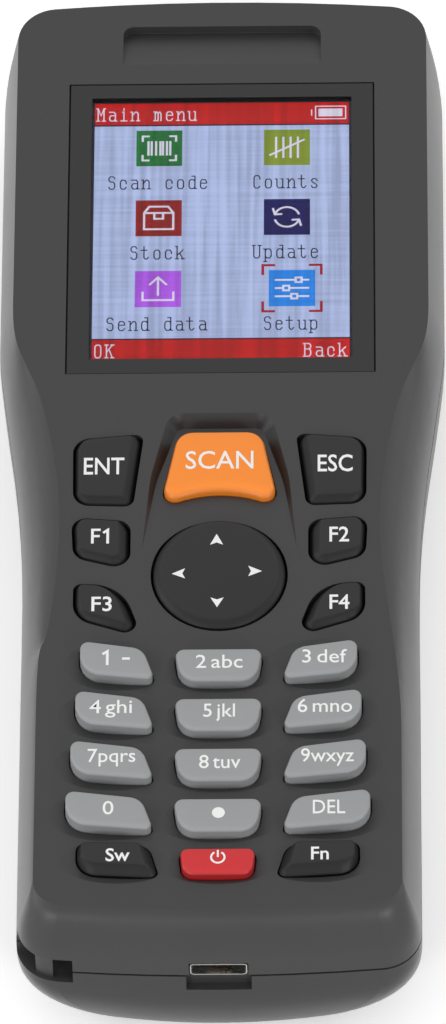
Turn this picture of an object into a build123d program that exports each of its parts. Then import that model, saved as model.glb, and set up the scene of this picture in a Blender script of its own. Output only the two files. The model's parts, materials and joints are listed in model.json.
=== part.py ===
from build123d import *

import math
import os

# Portable barcode data terminal, lying on its back. Millimetres.
# +Z comes out of the face, +Y runs to the scanning end, and the origin is
# under the middle of the body, on the plane that the back rests on.

# ---------------------------------------------------------------- driving sizes

# Overall body
BODY_DEPTH = 26.5
FRONT_DEPTH = 10.5          # face down to the parting line
SIDE_WALL = 2.0
FACE_WALL = 2.6
BACK_WALL = 2.2

# Face outline: what stands on it and the margins beside that
LENS_WIDTH = 41.9
LENS_LENGTH = 49.8
LENS_HEAD_MARGIN = 14.6     # from the head end of the body to the lens
LENS_BEZEL = 7.35           # face beside the lens
LENS_TO_PAD = 33.8          # tail edge of the lens to the centre of the direction pad
KEYPAD_TAIL_MARGIN = 9.05   # from the keypad to the tail end of the body
FUNCTION_KEY_REACH = 19.65  # centre line to the outer edge of the function keys
NUMBER_KEY_REACH = 18.35    # the same at the first number row
WAIST_MARGIN = 1.85
TAIL_MARGIN = 4.2
HEAD_END_DRAFT = 0.2        # how far each wall runs out between face and parting line
TAIL_END_DRAFT = 3.3
HEAD_FLANK_RUN = 2.2
WAIST_FLANK_RUN = 5.35
TAIL_FLANK_RUN = 2.5
FLANK_DRAFT = 2.2           # the straight part of that run; the rest swells
END_ARCH = 1.4              # how far each end bows out between its corners
TAIL_BULGE = 0.7            # the back housing's tail, beyond the parting line
BACK_ROUND = 11.5
BACK_INSET = 5.6
HEAD_CORNER = 5.5
TAIL_CORNER = 3.8
BELT_HEAD_CORNER = 10.5
BELT_TAIL_CORNER = 5.6
BACK_TAIL_CORNER = 15.6
BACK_TAIL_ARCH = 3.6        # the same bow at the tail edge of the back
LEAST_CORNER = 1.2          # of the outlines that are set in

# Finger scoop in the back
SCOOP_DEPTH = 2.0
SCOOP_LENGTH = 84.0
SCOOP_FROM_PAD = 12.2       # headwards from the centre of the direction pad

# Parting line
SHADOW_GAP = 0.35
LIP_THICKNESS = 0.9
LIP_RISE = 1.2
LIP_CLEARANCE = 0.2

# Keys
DPAD_RADIUS = 8.85
DPAD_GAP = 0.32
DPAD_RISE = 0.7
DPAD_CROWN = 0.4
DPAD_TILT = 2.0             # degrees each way
DPAD_RELIEF = 0.9           # the plate is thinner by this under the pad's rocking flange
PIVOT_RADIUS = 1.6
PIVOT_GAP = 0.6
PIVOT_HEIGHT = 1.2
KEY_GAP = 0.25
KEY_EDGE = 0.45
FLANGE_REACH = 0.75
FLANGE_THICKNESS = 0.8
FLANGE_CLEARANCE = 0.1
FUNCTION_KEY_RISE = 0.6
SCAN_KEY_RISE = 0.9
NUMBER_KEY_RISE = 1.6
BOTTOM_KEY_RISE = 1.2
NUMBER_ROW_PITCH = 8.03
NUMBER_ROW_SPREAD = 0.55    # each row is this much wider on each side than the last
DISH_DEPTH = 0.75
DISH_MARGIN_X = 2.3
DISH_MARGIN_Y = 1.0
SCAN_RECESS_DEPTH = 1.75
SCAN_RECESS_DRAFT = 42.0    # degrees that the walls of the recess lean outwards
# Corners of the recess as (x, y, fillet radius) from the direction pad's centre
SCAN_RECESS_CORNERS = ((10.4, 4.2, 0), (9.35, 16.2, 18.0), (6.9, 26.95, 2.6))
FUNCTION_KEY_HEAD = 23.2    # from the direction pad's centre to the ends of the keypad
BOTTOM_KEY_TAIL = -16.63    # tail edge of the bottom keys, before they move down their rows

# Keypad mat, domes and board
MAT_THICKNESS = 1.0
MAT_MARGIN = 0.1            # mat beyond the outermost key flanges
MAT_CORNER = 1.5
PLUNGER_RADIUS = 1.5
ARROW_REACH = 5.0           # direction pad's centre to the domes under its arrows
DOME_SHEET_THICKNESS = 0.2
DOME_RADIUS = 2.2
DOME_HEIGHT = 0.4
BOARD_DROP = 7.0            # face down to the top of the main board
BOARD_THICKNESS = 1.2
BOARD_HALF_WIDTH = 21.2
BOARD_BOSS_GAP = 0.5
BOARD_MARGIN = 0.9
BOARD_TONGUE_WIDTH = 15.0
BOARD_TONGUE_GAP = 0.4      # from the tongue's end to the inside of the tail wall
BOARD_POST_RADIUS = 2.1

# Display
LENS_THICKNESS = 1.0
LENS_GAP = 0.12
LENS_LEDGE_X = 2.2
LENS_LEDGE_Y = 1.7
PANEL_GAP = 0.3
PANEL_TO_LENS = 0.2
GASKET_THICKNESS = 0.3
BACKLIGHT_THICKNESS = 2.2
BACKLIGHT_FLANGE = 1.1
DISPLAY_FRAME_WALL = 1.6

# Label pocket at the head
POCKET_WIDTH = 27.4
POCKET_LENGTH = 6.7
POCKET_HEAD_MARGIN = 4.4
POCKET_DEPTH = 1.5
POCKET_CORNER = 1.5

# Label pocket in the back
LABEL_WIDTH = 34.0
LABEL_LENGTH = 20.0
LABEL_DEPTH = 0.3
LABEL_HEAD_MARGIN = 15.0

# Scanning window and engine
WINDOW_WIDTH = 30.0
WINDOW_HEIGHT = 8.6
WINDOW_Z = 10.0
WINDOW_LIP = 1.6
WINDOW_THICKNESS = 1.2
WINDOW_GAP = 0.1
WINDOW_SETBACK = 3.0
WINDOW_CORNER = 2.0
WINDOW_FLARE = 8.0          # degrees that the window's tunnel opens outwards
WINDOW_CLEAR = 10.5         # behind the head end, left free by the lip
ENGINE_WIDTH = 21.0
ENGINE_LENGTH = 14.0
ENGINE_HEIGHT = 10.6
ENGINE_TO_WINDOW = 2.6
ENGINE_LENS_RADIUS = 2.6
ENGINE_LENS_REACH = 1.6
AIMER_RADIUS = 1.4
AIMER_REACH = 0.9
AIMER_SPACING = 14.0
BRACKET_THICKNESS = 1.0
BRACKET_EAR = 5.0
BRACKET_SCREW_GAP = 1.0     # from the scan engine to the middle of an ear, beyond half an ear
STANDOFF_RADIUS = 2.0

# Micro USB socket at the tail
USB_WIDTH = 7.5
USB_HEIGHT = 2.45
USB_LENGTH = 5.2
USB_SHEET = 0.3
USB_SETBACK = 0.2
USB_TAPER = 1.1             # all four corners of the shell, cut back at 45 degrees
USB_CLEARANCE = 0.15
USB_TONGUE_WIDTH = 3.8
USB_TONGUE_THICKNESS = 0.6
USB_TONGUE_SETBACK = 1.0
USB_CONTACTS = 5
USB_CONTACT_PITCH = 0.65
USB_CONTACT_THICKNESS = 0.15
NOTCH_WIDTH = 8.6
NOTCH_DEPTH = 2.8

# Lanyard anchor at one tail corner
LANYARD_HEIGHT = 4.6
LANYARD_BAR = 1.7
LANYARD_PASSAGE = 2.3
LANYARD_SIDE_SLOT = 3.4
LANYARD_END_SLOT = 2.6
LANYARD_CORNER_X = 4.9      # parting-line corner to the end slot
LANYARD_CORNER_Y = 2.3      # parting-line corner to the side slot
LANYARD_WALL = 1.4          # wall between the passage and the inside
LANYARD_INSET = 0.42        # bar behind the outline of the housing

# Housing screws
BOSS_RADIUS = 2.3
SCREW_RADIUS = 1.0
SCREW_GAP = 0.08
SCREW_HEAD_RADIUS = 1.9
SCREW_HEAD_HEIGHT = 1.3
SCREW_ENGAGEMENT = 6.0
SCREW_SEAT = 6.0            # height of the seat above the back
SCREW_RECESS_GAP = 0.35
SCREW_WALL = 1.15           # plastic around a screw head's recess
TAIL_SCREW_X = 13.0
TAIL_SCREW_INSET = 1.6      # from the tail edge of the face
WAIST_SCREW_X = 19.0
WAIST_SCREW_INSET = 4.8     # from the tail edge of the lens
HEAD_SCREW_INSET_X = 7.8    # from the side edge of the face
HEAD_SCREW_INSET_Y = 8.5    # from the head end
BOSS_ROOT = 0.8             # how far ribs and bosses sink into the wall they stand on
BOARD_SCREW_RADIUS = 0.8
BOARD_SCREW_HEAD = 1.5

# Battery, buzzer and radio
BATTERY_WIDTH = 33.0
BATTERY_LENGTH = 52.0
BATTERY_THICKNESS = 8.0
BATTERY_EDGE = 2.5
BATTERY_PAD = 0.8
BATTERY_RIB = 1.2
BATTERY_RIB_LENGTH = 31.0
BATTERY_GAP = 0.4
BUZZER_RADIUS = 5.0
BUZZER_HEIGHT = 2.6
BUZZER_X = 10.5
BUZZER_INSET = 9.8          # from the tail end of the mat
GRILLE_HOLE = 0.6
GRILLE_PITCH = 2.4
RADIO_WIDTH = 12.0
RADIO_LENGTH = 16.0
RADIO_THICKNESS = 0.8
RADIO_X = 9.0
RADIO_INSET = 3.5           # from the tail end of the mat
CAN_SIZE = 8.0
CAN_CORNER = 0.5
CAN_HEIGHT = 1.6
FLEX_THICKNESS = 0.25
FLEX_WIDTH = 14.0
CONNECTOR_WIDTH = 6.0
CONNECTOR_LENGTH = 4.0
CONNECTOR_HEIGHT = 3.0
CONNECTOR_X = -8.0
CONNECTOR_INSET = 6.0       # from the head end of the battery
LEAD_RADIUS = 0.6

# ---------------------------------------------------------------- derived places

NUMBER_ROWS = 4
KEYPAD_TAIL = NUMBER_ROW_PITCH * NUMBER_ROWS - BOTTOM_KEY_TAIL
LENGTH = LENS_HEAD_MARGIN + LENS_LENGTH + LENS_TO_PAD + KEYPAD_TAIL + KEYPAD_TAIL_MARGIN
HEAD_Y = LENGTH / 2
TAIL_Y = -LENGTH / 2
FACE_Z = BODY_DEPTH
PLATE_Z = FACE_Z - FACE_WALL
PARTING_Z = FACE_Z - FRONT_DEPTH
BELT_TAIL_Y = TAIL_Y + TAIL_BULGE
FACE_TAIL_Y = BELT_TAIL_Y + TAIL_END_DRAFT
FACE_HEAD_Y = HEAD_Y - HEAD_END_DRAFT

DPAD_Y = TAIL_Y + KEYPAD_TAIL_MARGIN + KEYPAD_TAIL
NUMBER_TAIL_REACH = NUMBER_KEY_REACH + NUMBER_ROW_SPREAD * (NUMBER_ROWS - 1)

FACE_HEAD_HALF = LENS_WIDTH / 2 + LENS_BEZEL
FACE_WAIST_HALF = FUNCTION_KEY_REACH + WAIST_MARGIN
FACE_TAIL_HALF = NUMBER_TAIL_REACH + TAIL_MARGIN
BELT_HEAD_HALF = FACE_HEAD_HALF + HEAD_FLANK_RUN
BELT_WAIST_HALF = FACE_WAIST_HALF + WAIST_FLANK_RUN
BELT_TAIL_HALF = FACE_TAIL_HALF + TAIL_FLANK_RUN

LENS_Y = HEAD_Y - LENS_HEAD_MARGIN - LENS_LENGTH / 2
LENS_Z = FACE_Z - LENS_THICKNESS

FLANGE_Z = PLATE_Z - FLANGE_CLEARANCE
MAT_Z = FLANGE_Z - FLANGE_THICKNESS
DPAD_FLANGE_REACH = DPAD_GAP + FLANGE_REACH
DPAD_DROP = (DPAD_RADIUS + DPAD_FLANGE_REACH) * math.sin(math.radians(DPAD_TILT)) * math.sqrt(2)
DPAD_FLANGE_Z = PLATE_Z + DPAD_RELIEF - DPAD_DROP - FLANGE_CLEARANCE
DPAD_CROWN_RADIUS = (DPAD_RADIUS**2 + DPAD_CROWN**2) / (2 * DPAD_CROWN)
DPAD_FLOOR_Z = MAT_Z + FLANGE_CLEARANCE
BOARD_Z = FACE_Z - BOARD_DROP
BOARD_BACK_Z = BOARD_Z - BOARD_THICKNESS
DOME_Z = BOARD_Z + DOME_SHEET_THICKNESS

WINDOW_Y = HEAD_Y - WINDOW_SETBACK
USB_Y = BELT_TAIL_Y + USB_SETBACK
USB_Z = BOARD_BACK_Z - USB_HEIGHT / 2

# Corner of the parting-line outline that the lanyard bar turns around
BELT_TAIL_X = -BELT_TAIL_HALF
LANYARD_END_X = LANYARD_CORNER_X + LANYARD_END_SLOT
LANYARD_SIDE_Y = LANYARD_CORNER_Y + LANYARD_SIDE_SLOT

SCOOP_Y = DPAD_Y + SCOOP_FROM_PAD
SCOOP_RADIUS = (SCOOP_LENGTH**2 / 4 + SCOOP_DEPTH**2) / (2 * SCOOP_DEPTH)
REAR_BOSS_RADIUS = SCREW_HEAD_RADIUS + SCREW_RECESS_GAP + SCREW_WALL

# Screw places: tail pair, waist pair and head pair
TAIL_SCREW = (TAIL_SCREW_X, FACE_TAIL_Y + TAIL_SCREW_INSET)
WAIST_SCREW = (WAIST_SCREW_X, LENS_Y - LENS_LENGTH / 2 - WAIST_SCREW_INSET)
HEAD_SCREW = (FACE_HEAD_HALF - HEAD_SCREW_INSET_X, HEAD_Y - HEAD_SCREW_INSET_Y)
SCREW_PLACES = [(side * x, y) for x, y in (TAIL_SCREW, WAIST_SCREW, HEAD_SCREW) for side in (-1, 1)]
SCREW_LENGTH = PARTING_Z - SCREW_SEAT + SCREW_ENGAGEMENT

ENGINE_FRONT_Y = WINDOW_Y - WINDOW_THICKNESS - ENGINE_TO_WINDOW
ENGINE_Y = ENGINE_FRONT_Y - ENGINE_LENGTH / 2
ENGINE_BOTTOM_Z = WINDOW_Z - ENGINE_HEIGHT / 2
BRACKET_Z = ENGINE_BOTTOM_Z - BRACKET_THICKNESS
BRACKET_SCREW_X = ENGINE_WIDTH / 2 + BRACKET_EAR / 2 + BRACKET_SCREW_GAP
BRACKET_SCREW_PLACES = [(-BRACKET_SCREW_X, ENGINE_Y), (BRACKET_SCREW_X, ENGINE_Y)]

BATTERY_Y = WAIST_SCREW[1] - REAR_BOSS_RADIUS - BATTERY_GAP - BATTERY_LENGTH / 2
PAD_Z = SCOOP_DEPTH + BACK_WALL
BATTERY_Z = PAD_Z + BATTERY_PAD
RIB_X = BATTERY_WIDTH / 2 + BATTERY_GAP + BATTERY_RIB / 2
RIB_TOP_Z = BATTERY_Z + BATTERY_THICKNESS / 2

PANEL_WIDTH = LENS_WIDTH - 2 * (LENS_LEDGE_X + PANEL_GAP)
PANEL_LENGTH = LENS_LENGTH - 2 * (LENS_LEDGE_Y + PANEL_GAP)
BACKLIGHT_WIDTH = LENS_WIDTH - 2 * LENS_LEDGE_X + 2 * BACKLIGHT_FLANGE
BACKLIGHT_LENGTH = LENS_LENGTH - 2 * LENS_LEDGE_Y + 2 * BACKLIGHT_FLANGE
BACKLIGHT_TOP_Z = PLATE_Z - GASKET_THICKNESS
BACKLIGHT_Z = BACKLIGHT_TOP_Z - BACKLIGHT_THICKNESS
BOARD_SCREW_X = BACKLIGHT_WIDTH / 2 - BOARD_POST_RADIUS
BOARD_SCREW_Y = BACKLIGHT_LENGTH / 2 - BOARD_POST_RADIUS
BOARD_SCREW_PLACES = [
    (sx * BOARD_SCREW_X, LENS_Y + sy * BOARD_SCREW_Y) for sx in (-1, 1) for sy in (-1, 1)
]
BOARD_HEAD_Y = LENS_Y + BACKLIGHT_LENGTH / 2 + BOARD_MARGIN
MAT_TAIL_Y = DPAD_Y - KEYPAD_TAIL - FLANGE_REACH - MAT_MARGIN
MAT_HEAD_Y = DPAD_Y + FUNCTION_KEY_HEAD + FLANGE_REACH + MAT_MARGIN
MAT_HALF_WIDTH = NUMBER_TAIL_REACH + FLANGE_REACH + MAT_MARGIN
RADIO_Y = MAT_TAIL_Y + RADIO_LENGTH / 2 + RADIO_INSET
BUZZER_Y = MAT_TAIL_Y + BUZZER_INSET
CONNECTOR_PLACE = (CONNECTOR_X, BATTERY_Y + BATTERY_LENGTH / 2 - CONNECTOR_INSET)
LABEL_Y = HEAD_Y - LABEL_HEAD_MARGIN - LABEL_LENGTH / 2


# ---------------------------------------------------------------- outlines

# How the flanks open out from the waist: y from the direction pad's centre, then
# the share of the way to the head's half-width, at the face and at the parting line.
FLANK_TO_HEAD = ((24.3, 0.24, 0.33), (32.5, 0.55, 0.62), (38.8, 0.90, 0.83), (45.7, 1.0, 0.98))
FLANK_WAIST_Y = 8.8
FLANK_TO_TAIL = ((-10.3, 0.62, 0.9), (-24.8, 1.0, 1.0))


def between(start, end, share):
    """Value a share of the way from start to end."""
    return start + (end - start) * share


def flank_half_width(face, belt, share):
    """Half-width of a flank that leaves the face at a draft and then swells."""
    run = belt - face
    draft = min(run, FLANK_DRAFT)
    drafted = 1 - (1 - share) ** 1.5
    swollen = math.sqrt(1 - (1 - share) ** 2)
    return face + draft * drafted + (run - draft) * swollen


def flank_points(share, inset):
    """Right flank's corner ends and spline points, from tail to head."""
    def half(face, belt):
        return flank_half_width(face, belt, share) - inset

    points = []
    for y, face_share, belt_share in reversed(FLANK_TO_TAIL):
        face = between(FACE_WAIST_HALF, FACE_TAIL_HALF, face_share)
        belt = between(BELT_WAIST_HALF, BELT_TAIL_HALF, belt_share)
        points.append((half(face, belt), DPAD_Y + y))
    points.append((half(FACE_WAIST_HALF, BELT_WAIST_HALF), DPAD_Y + FLANK_WAIST_Y))
    for y, face_share, belt_share in FLANK_TO_HEAD:
        face = between(FACE_WAIST_HALF, FACE_HEAD_HALF, face_share)
        belt = between(BELT_WAIST_HALF, BELT_HEAD_HALF, belt_share)
        points.append((half(face, belt), DPAD_Y + y))
    return points


def body_face(
    share, inset, height, head_y, tail_y, head_corner, tail_corner, tail_arch=END_ARCH
):
    """Cross-section of the body: straight, splined flanks and two bowed ends."""
    flank = flank_points(share, inset)
    head_half = flank[-1][0]
    tail_half = flank[0][0]
    mirrored = [(-x, y) for x, y in reversed(flank)]
    with BuildSketch(Plane.XY.offset(height)) as section:
        with BuildLine():
            Line((tail_half, tail_y + tail_arch), flank[0])
            Spline(*flank, tangents=((0, 1), (0, 1)))
            Line(flank[-1], (head_half, head_y - END_ARCH))
            ThreePointArc(
                (head_half, head_y - END_ARCH), (0, head_y), (-head_half, head_y - END_ARCH)
            )
            Line((-head_half, head_y - END_ARCH), mirrored[0])
            Spline(*mirrored, tangents=((0, -1), (0, -1)))
            Line(mirrored[-1], (-tail_half, tail_y + tail_arch))
            ThreePointArc(
                (-tail_half, tail_y + tail_arch), (0, tail_y), (tail_half, tail_y + tail_arch)
            )
        make_face()
        fillet(section.vertices().group_by(Axis.Y)[-1], head_corner)
        fillet(section.vertices().group_by(Axis.Y)[0], tail_corner)
    return section.sketch


def body_sections(side, floor, lid):
    """Cross-sections from back to face, each set in by a wall, floor and lid."""
    sections = []
    for angle in (90, 68, 45, 22, 0):
        swing = math.radians(angle)
        inset = side + (BACK_INSET - side) * (1 - math.cos(swing))
        height = floor + (BACK_ROUND - floor) * (1 - math.sin(swing))
        drop = 1 - height / PARTING_Z
        corner = between(BELT_TAIL_CORNER, BACK_TAIL_CORNER, drop**2)
        sections.append(
            body_face(
                1.0,
                inset,
                height,
                HEAD_Y - inset,
                TAIL_Y + inset,
                BELT_HEAD_CORNER - side,
                max(corner - side, LEAST_CORNER),
                between(END_ARCH, BACK_TAIL_ARCH, drop),
            )
        )
    for step in (1.0, 0.6, 0.3, 0.12, 0.0):
        share = between(lid / FRONT_DEPTH, 1, step)
        ends = math.sqrt(1 - (1 - share) ** 2)
        head_corner = between(HEAD_CORNER, BELT_HEAD_CORNER, share)
        tail_corner = between(TAIL_CORNER, BELT_TAIL_CORNER, share)
        sections.append(
            body_face(
                share,
                side,
                FACE_Z - FRONT_DEPTH * share,
                between(FACE_HEAD_Y, HEAD_Y, share) - side,
                between(FACE_TAIL_Y, BELT_TAIL_Y, ends) + side,
                head_corner - side,
                max(tail_corner - side, LEAST_CORNER),
            )
        )
    return sections


def belt_face(inset, height):
    """The body's outline at the parting line, set in."""
    return body_face(
        1.0, inset, height, HEAD_Y - inset, BELT_TAIL_Y + inset,
        BELT_HEAD_CORNER - inset, max(BELT_TAIL_CORNER - inset, LEAST_CORNER),
    )


def lanyard_block_face(grow=0.0):
    """Tail corner that stays solid around the lanyard anchor."""
    with BuildSketch() as block:
        with Locations((BELT_TAIL_X, BELT_TAIL_Y)):
            Rectangle(
                2 * (LANYARD_END_X + LANYARD_WALL + grow), 2 * (LANYARD_SIDE_Y + LANYARD_WALL + grow)
            )
    return block.sketch


# ---------------------------------------------------------------- key outlines

# Corners as (x, y, fillet radius) from the direction pad's centre, on the right side.
ENTER_CORNERS = (
    (FUNCTION_KEY_REACH - 0.2, 11.9, 2.0), (FUNCTION_KEY_REACH - 0.1, 22.4, 2.2),
    (10.5, FUNCTION_KEY_HEAD, 0.8), (11.85, 11.65, 1.1),
)
F_UPPER_CORNERS = (
    (FUNCTION_KEY_REACH - 0.3, 3.2, 2.0), (FUNCTION_KEY_REACH, 9.4, 1.6),
    (12.15, 8.75, 1.6), (12.15, 1.15, 2.0),
)
F_LOWER_CORNERS = (
    (FUNCTION_KEY_REACH - 0.4, -6.85, 3.0), (FUNCTION_KEY_REACH - 0.4, -1.5, 0.9),
    (13.2, -1.85, 5.5), (10.5, -9.85, 1.3),
)
MIDDLE_CORNERS = (
    (5.0, -18.15, 2.6), (5.8, -13.15, 1.0), (-5.8, -13.15, 1.0), (-5.0, -18.15, 2.6),
)
SIDE_CORNERS = (
    (NUMBER_KEY_REACH, -16.7, 3.0), (NUMBER_KEY_REACH, -11.65, 1.0),
    (10.1, -12.95, 2.3), (8.5, -17.8, 0.7),
)
POWER_CORNERS = (
    (4.5, BOTTOM_KEY_TAIL, 1.5), (4.95, -12.73, 0.9),
    (-4.95, -12.73, 0.9), (-4.5, BOTTOM_KEY_TAIL, 1.5),
)
SHIFT_CORNERS = (
    (18.4, -15.83, 2.6), (18.4, -11.43, 0.8), (9.2, -11.63, 1.8),
    (7.85, BOTTOM_KEY_TAIL + 0.15, 0.7),
)
SCAN_CORNERS = ((7.95, 11.4, 1.4), (5.6, 23.3, 2.4))
SCAN_TAIL_ARCH = 2.4


def mirrored(corners):
    """The same corners on the left side."""
    return tuple((-x, y, radius) for x, y, radius in reversed(corners))


def in_row(corners, row, spread=0.0):
    """Corners moved down to a row, with the outer edge further out by the spread."""
    outer = max(x for x, _, _ in corners)
    return tuple(
        (x + spread if x == outer else x, y - NUMBER_ROW_PITCH * row, radius)
        for x, y, radius in corners
    )


POWER_CORNERS = in_row(POWER_CORNERS, NUMBER_ROWS)
SHIFT_CORNERS = in_row(SHIFT_CORNERS, NUMBER_ROWS)

KEYS = {
    "key_enter": (mirrored(ENTER_CORNERS), FUNCTION_KEY_RISE),
    "key_escape": (ENTER_CORNERS, FUNCTION_KEY_RISE),
    "key_f1": (mirrored(F_UPPER_CORNERS), FUNCTION_KEY_RISE),
    "key_f2": (F_UPPER_CORNERS, FUNCTION_KEY_RISE),
    "key_f3": (mirrored(F_LOWER_CORNERS), FUNCTION_KEY_RISE),
    "key_f4": (F_LOWER_CORNERS, FUNCTION_KEY_RISE),
    "key_switch": (mirrored(SHIFT_CORNERS), BOTTOM_KEY_RISE),
    "key_power": (POWER_CORNERS, BOTTOM_KEY_RISE),
    "key_function": (SHIFT_CORNERS, BOTTOM_KEY_RISE),
}
NUMBER_NAMES = (("1", "2", "3"), ("4", "5", "6"), ("7", "8", "9"), ("0", "dot", "delete"))
for number_row, names in enumerate(NUMBER_NAMES):
    side = in_row(SIDE_CORNERS, number_row, NUMBER_ROW_SPREAD * number_row)
    columns = (mirrored(side), in_row(MIDDLE_CORNERS, number_row), side)
    for name, corners in zip(names, columns):
        KEYS[f"key_{name}"] = (corners, NUMBER_KEY_RISE)
DISHED_KEYS = [name for name, (_, rise) in KEYS.items() if rise >= BOTTOM_KEY_RISE]


def key_face(corners, height, grow=0.0):
    """Outline of a key cap with rounded corners, grown by an even margin."""
    with BuildSketch(Plane.XY.offset(height)) as face:
        with BuildLine():
            FilletPolyline(
                *[(x, DPAD_Y + y) for x, y, _ in corners],
                radius=[radius for _, _, radius in corners],
                close=True,
            )
        make_face()
        if grow:
            offset(amount=grow)
    return face.sketch


def scan_face(height, grow=0.0):
    """Outline of the scan key: a bell whose tail edge follows the direction pad."""
    (foot_x, foot_y, foot_radius), (top_x, top_y, top_radius) = SCAN_CORNERS
    with BuildSketch(Plane.XY.offset(height)) as face:
        with BuildLine():
            Polyline(
                (foot_x, DPAD_Y + foot_y), (top_x, DPAD_Y + top_y),
                (-top_x, DPAD_Y + top_y), (-foot_x, DPAD_Y + foot_y),
            )
            ThreePointArc(
                (-foot_x, DPAD_Y + foot_y), (0, DPAD_Y + foot_y + SCAN_TAIL_ARCH),
                (foot_x, DPAD_Y + foot_y),
            )
        make_face()
        fillet(face.vertices().group_by(Axis.Y)[-1], top_radius)
        fillet(face.vertices().group_by(Axis.Y)[0], foot_radius)
        if grow:
            offset(amount=grow)
    return face.sketch


def key_centre(corners):
    """Middle of a key's corners."""
    xs = [x for x, _, _ in corners]
    ys = [y for _, y, _ in corners]
    return (min(xs) + max(xs)) / 2, DPAD_Y + (min(ys) + max(ys)) / 2


SCAN_CENTRE = (0, DPAD_Y + (SCAN_CORNERS[0][1] + SCAN_CORNERS[1][1]) / 2)
ARROW_PLACES = [(ARROW_REACH, 0), (0, ARROW_REACH), (-ARROW_REACH, 0), (0, -ARROW_REACH)]
PLUNGER_PLACES = [key_centre(corners) for corners, _ in KEYS.values()] + [SCAN_CENTRE]
PLUNGER_PLACES += [(x, DPAD_Y + y) for x, y in ARROW_PLACES]


# ---------------------------------------------------------------- master shapes

with BuildPart() as body_shape:
    for section in body_sections(0.0, 0.0, 0.0):
        add(section)
    loft()

# The hollow inside, without the block that carries the lanyard anchor and
# with a floor that stays one wall above the finger scoop.
with BuildPart() as cavity_shape:
    for section in body_sections(SIDE_WALL, BACK_WALL, FACE_WALL):
        add(section)
    loft()
    with Locations((0, SCOOP_Y, SCOOP_DEPTH - SCOOP_RADIUS)):
        Cylinder(SCOOP_RADIUS + BACK_WALL, LENGTH, rotation=(0, 90, 0), mode=Mode.SUBTRACT)
    with BuildSketch(Plane.XY):
        add(lanyard_block_face())
    extrude(amount=BODY_DEPTH, mode=Mode.SUBTRACT)

# ---------------------------------------------------------------- shared cuts

# Room for the USB socket where it passes both housings.
with BuildPart() as usb_clearance:
    with BuildSketch(Plane.XZ.offset(-TAIL_Y)):
        with Locations((0, USB_Z)):
            Rectangle(USB_WIDTH + 2 * USB_CLEARANCE, USB_HEIGHT + 2 * USB_CLEARANCE)
    extrude(amount=TAIL_Y - USB_Y - USB_LENGTH - 2 * USB_CLEARANCE)

# The corner window around the lanyard bar, open to the side and to the tail.
with BuildPart() as lanyard_passage:
    with BuildSketch(Plane.XY.offset(PARTING_Z - LANYARD_HEIGHT / 2)):
        with Locations((BELT_TAIL_X, BELT_TAIL_Y)):
            Rectangle(2 * LANYARD_END_X, 2 * LANYARD_SIDE_Y)
        add(belt_face(LANYARD_BAR + LANYARD_PASSAGE, 0), mode=Mode.SUBTRACT)
    extrude(amount=LANYARD_HEIGHT)

# Wedge-shaped recess with leaning walls that the scan key stands in: full depth at its
# head end, none at its tail.
with BuildPart() as scan_recess:
    recess_corners = SCAN_RECESS_CORNERS + mirrored(SCAN_RECESS_CORNERS)
    recess_tail, recess_head = SCAN_RECESS_CORNERS[0][1], SCAN_RECESS_CORNERS[-1][1]
    with BuildSketch(Plane.XY.offset(FACE_Z)):
        with BuildLine():
            FilletPolyline(
                *[(x, DPAD_Y + y) for x, y, _ in recess_corners],
                radius=[radius for _, _, radius in recess_corners],
                close=True,
            )
        make_face()
    extrude(amount=-SCAN_RECESS_DEPTH, taper=SCAN_RECESS_DRAFT)
    slope = math.atan2(SCAN_RECESS_DEPTH, recess_head - recess_tail)
    split(
        bisect_by=Plane(
            origin=(0, DPAD_Y + recess_tail, FACE_Z),
            x_dir=(1, 0, 0),
            z_dir=(0, math.sin(slope), math.cos(slope)),
        ),
        keep=Keep.TOP,
    )

# Label pocket at the head, sloping out to nothing at its tail edge.
with BuildPart() as head_pocket:
    with BuildSketch(Plane.XY.offset(FACE_Z)) as pocket_outline:
        with Locations((0, HEAD_Y - POCKET_HEAD_MARGIN)):
            Rectangle(POCKET_WIDTH, POCKET_LENGTH, align=(Align.CENTER, Align.MAX))
        fillet(pocket_outline.vertices().group_by(Axis.Y)[-1], POCKET_CORNER)
    extrude(amount=-2 * POCKET_DEPTH)
    slope = math.atan2(POCKET_DEPTH, POCKET_LENGTH)
    split(
        bisect_by=Plane(
            origin=(0, HEAD_Y - POCKET_HEAD_MARGIN - POCKET_LENGTH, FACE_Z),
            x_dir=(1, 0, 0),
            z_dir=(0, math.sin(slope), math.cos(slope)),
        ),
        keep=Keep.TOP,
    )

# ---------------------------------------------------------------- rear housing

# Flat land inside the head wall for the scanning window, kept within the body.
with BuildPart() as window_land:
    with BuildSketch(Plane.XZ.offset(-WINDOW_Y)):
        with Locations((0, WINDOW_Z)):
            Rectangle(WINDOW_WIDTH + 4 * WINDOW_LIP, WINDOW_HEIGHT + 2 * WINDOW_LIP)
    extrude(amount=-WINDOW_SETBACK)
    add(body_shape.part, mode=Mode.INTERSECT)

# Screw bosses from the back wall to the parting line, kept within the body.
with BuildPart() as rear_bosses:
    with BuildSketch(Plane.XY.offset(BACK_WALL - BOSS_ROOT)):
        with Locations(*SCREW_PLACES):
            Circle(REAR_BOSS_RADIUS)
    extrude(amount=PARTING_Z - BACK_WALL + BOSS_ROOT)
    add(body_shape.part, mode=Mode.INTERSECT)

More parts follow.
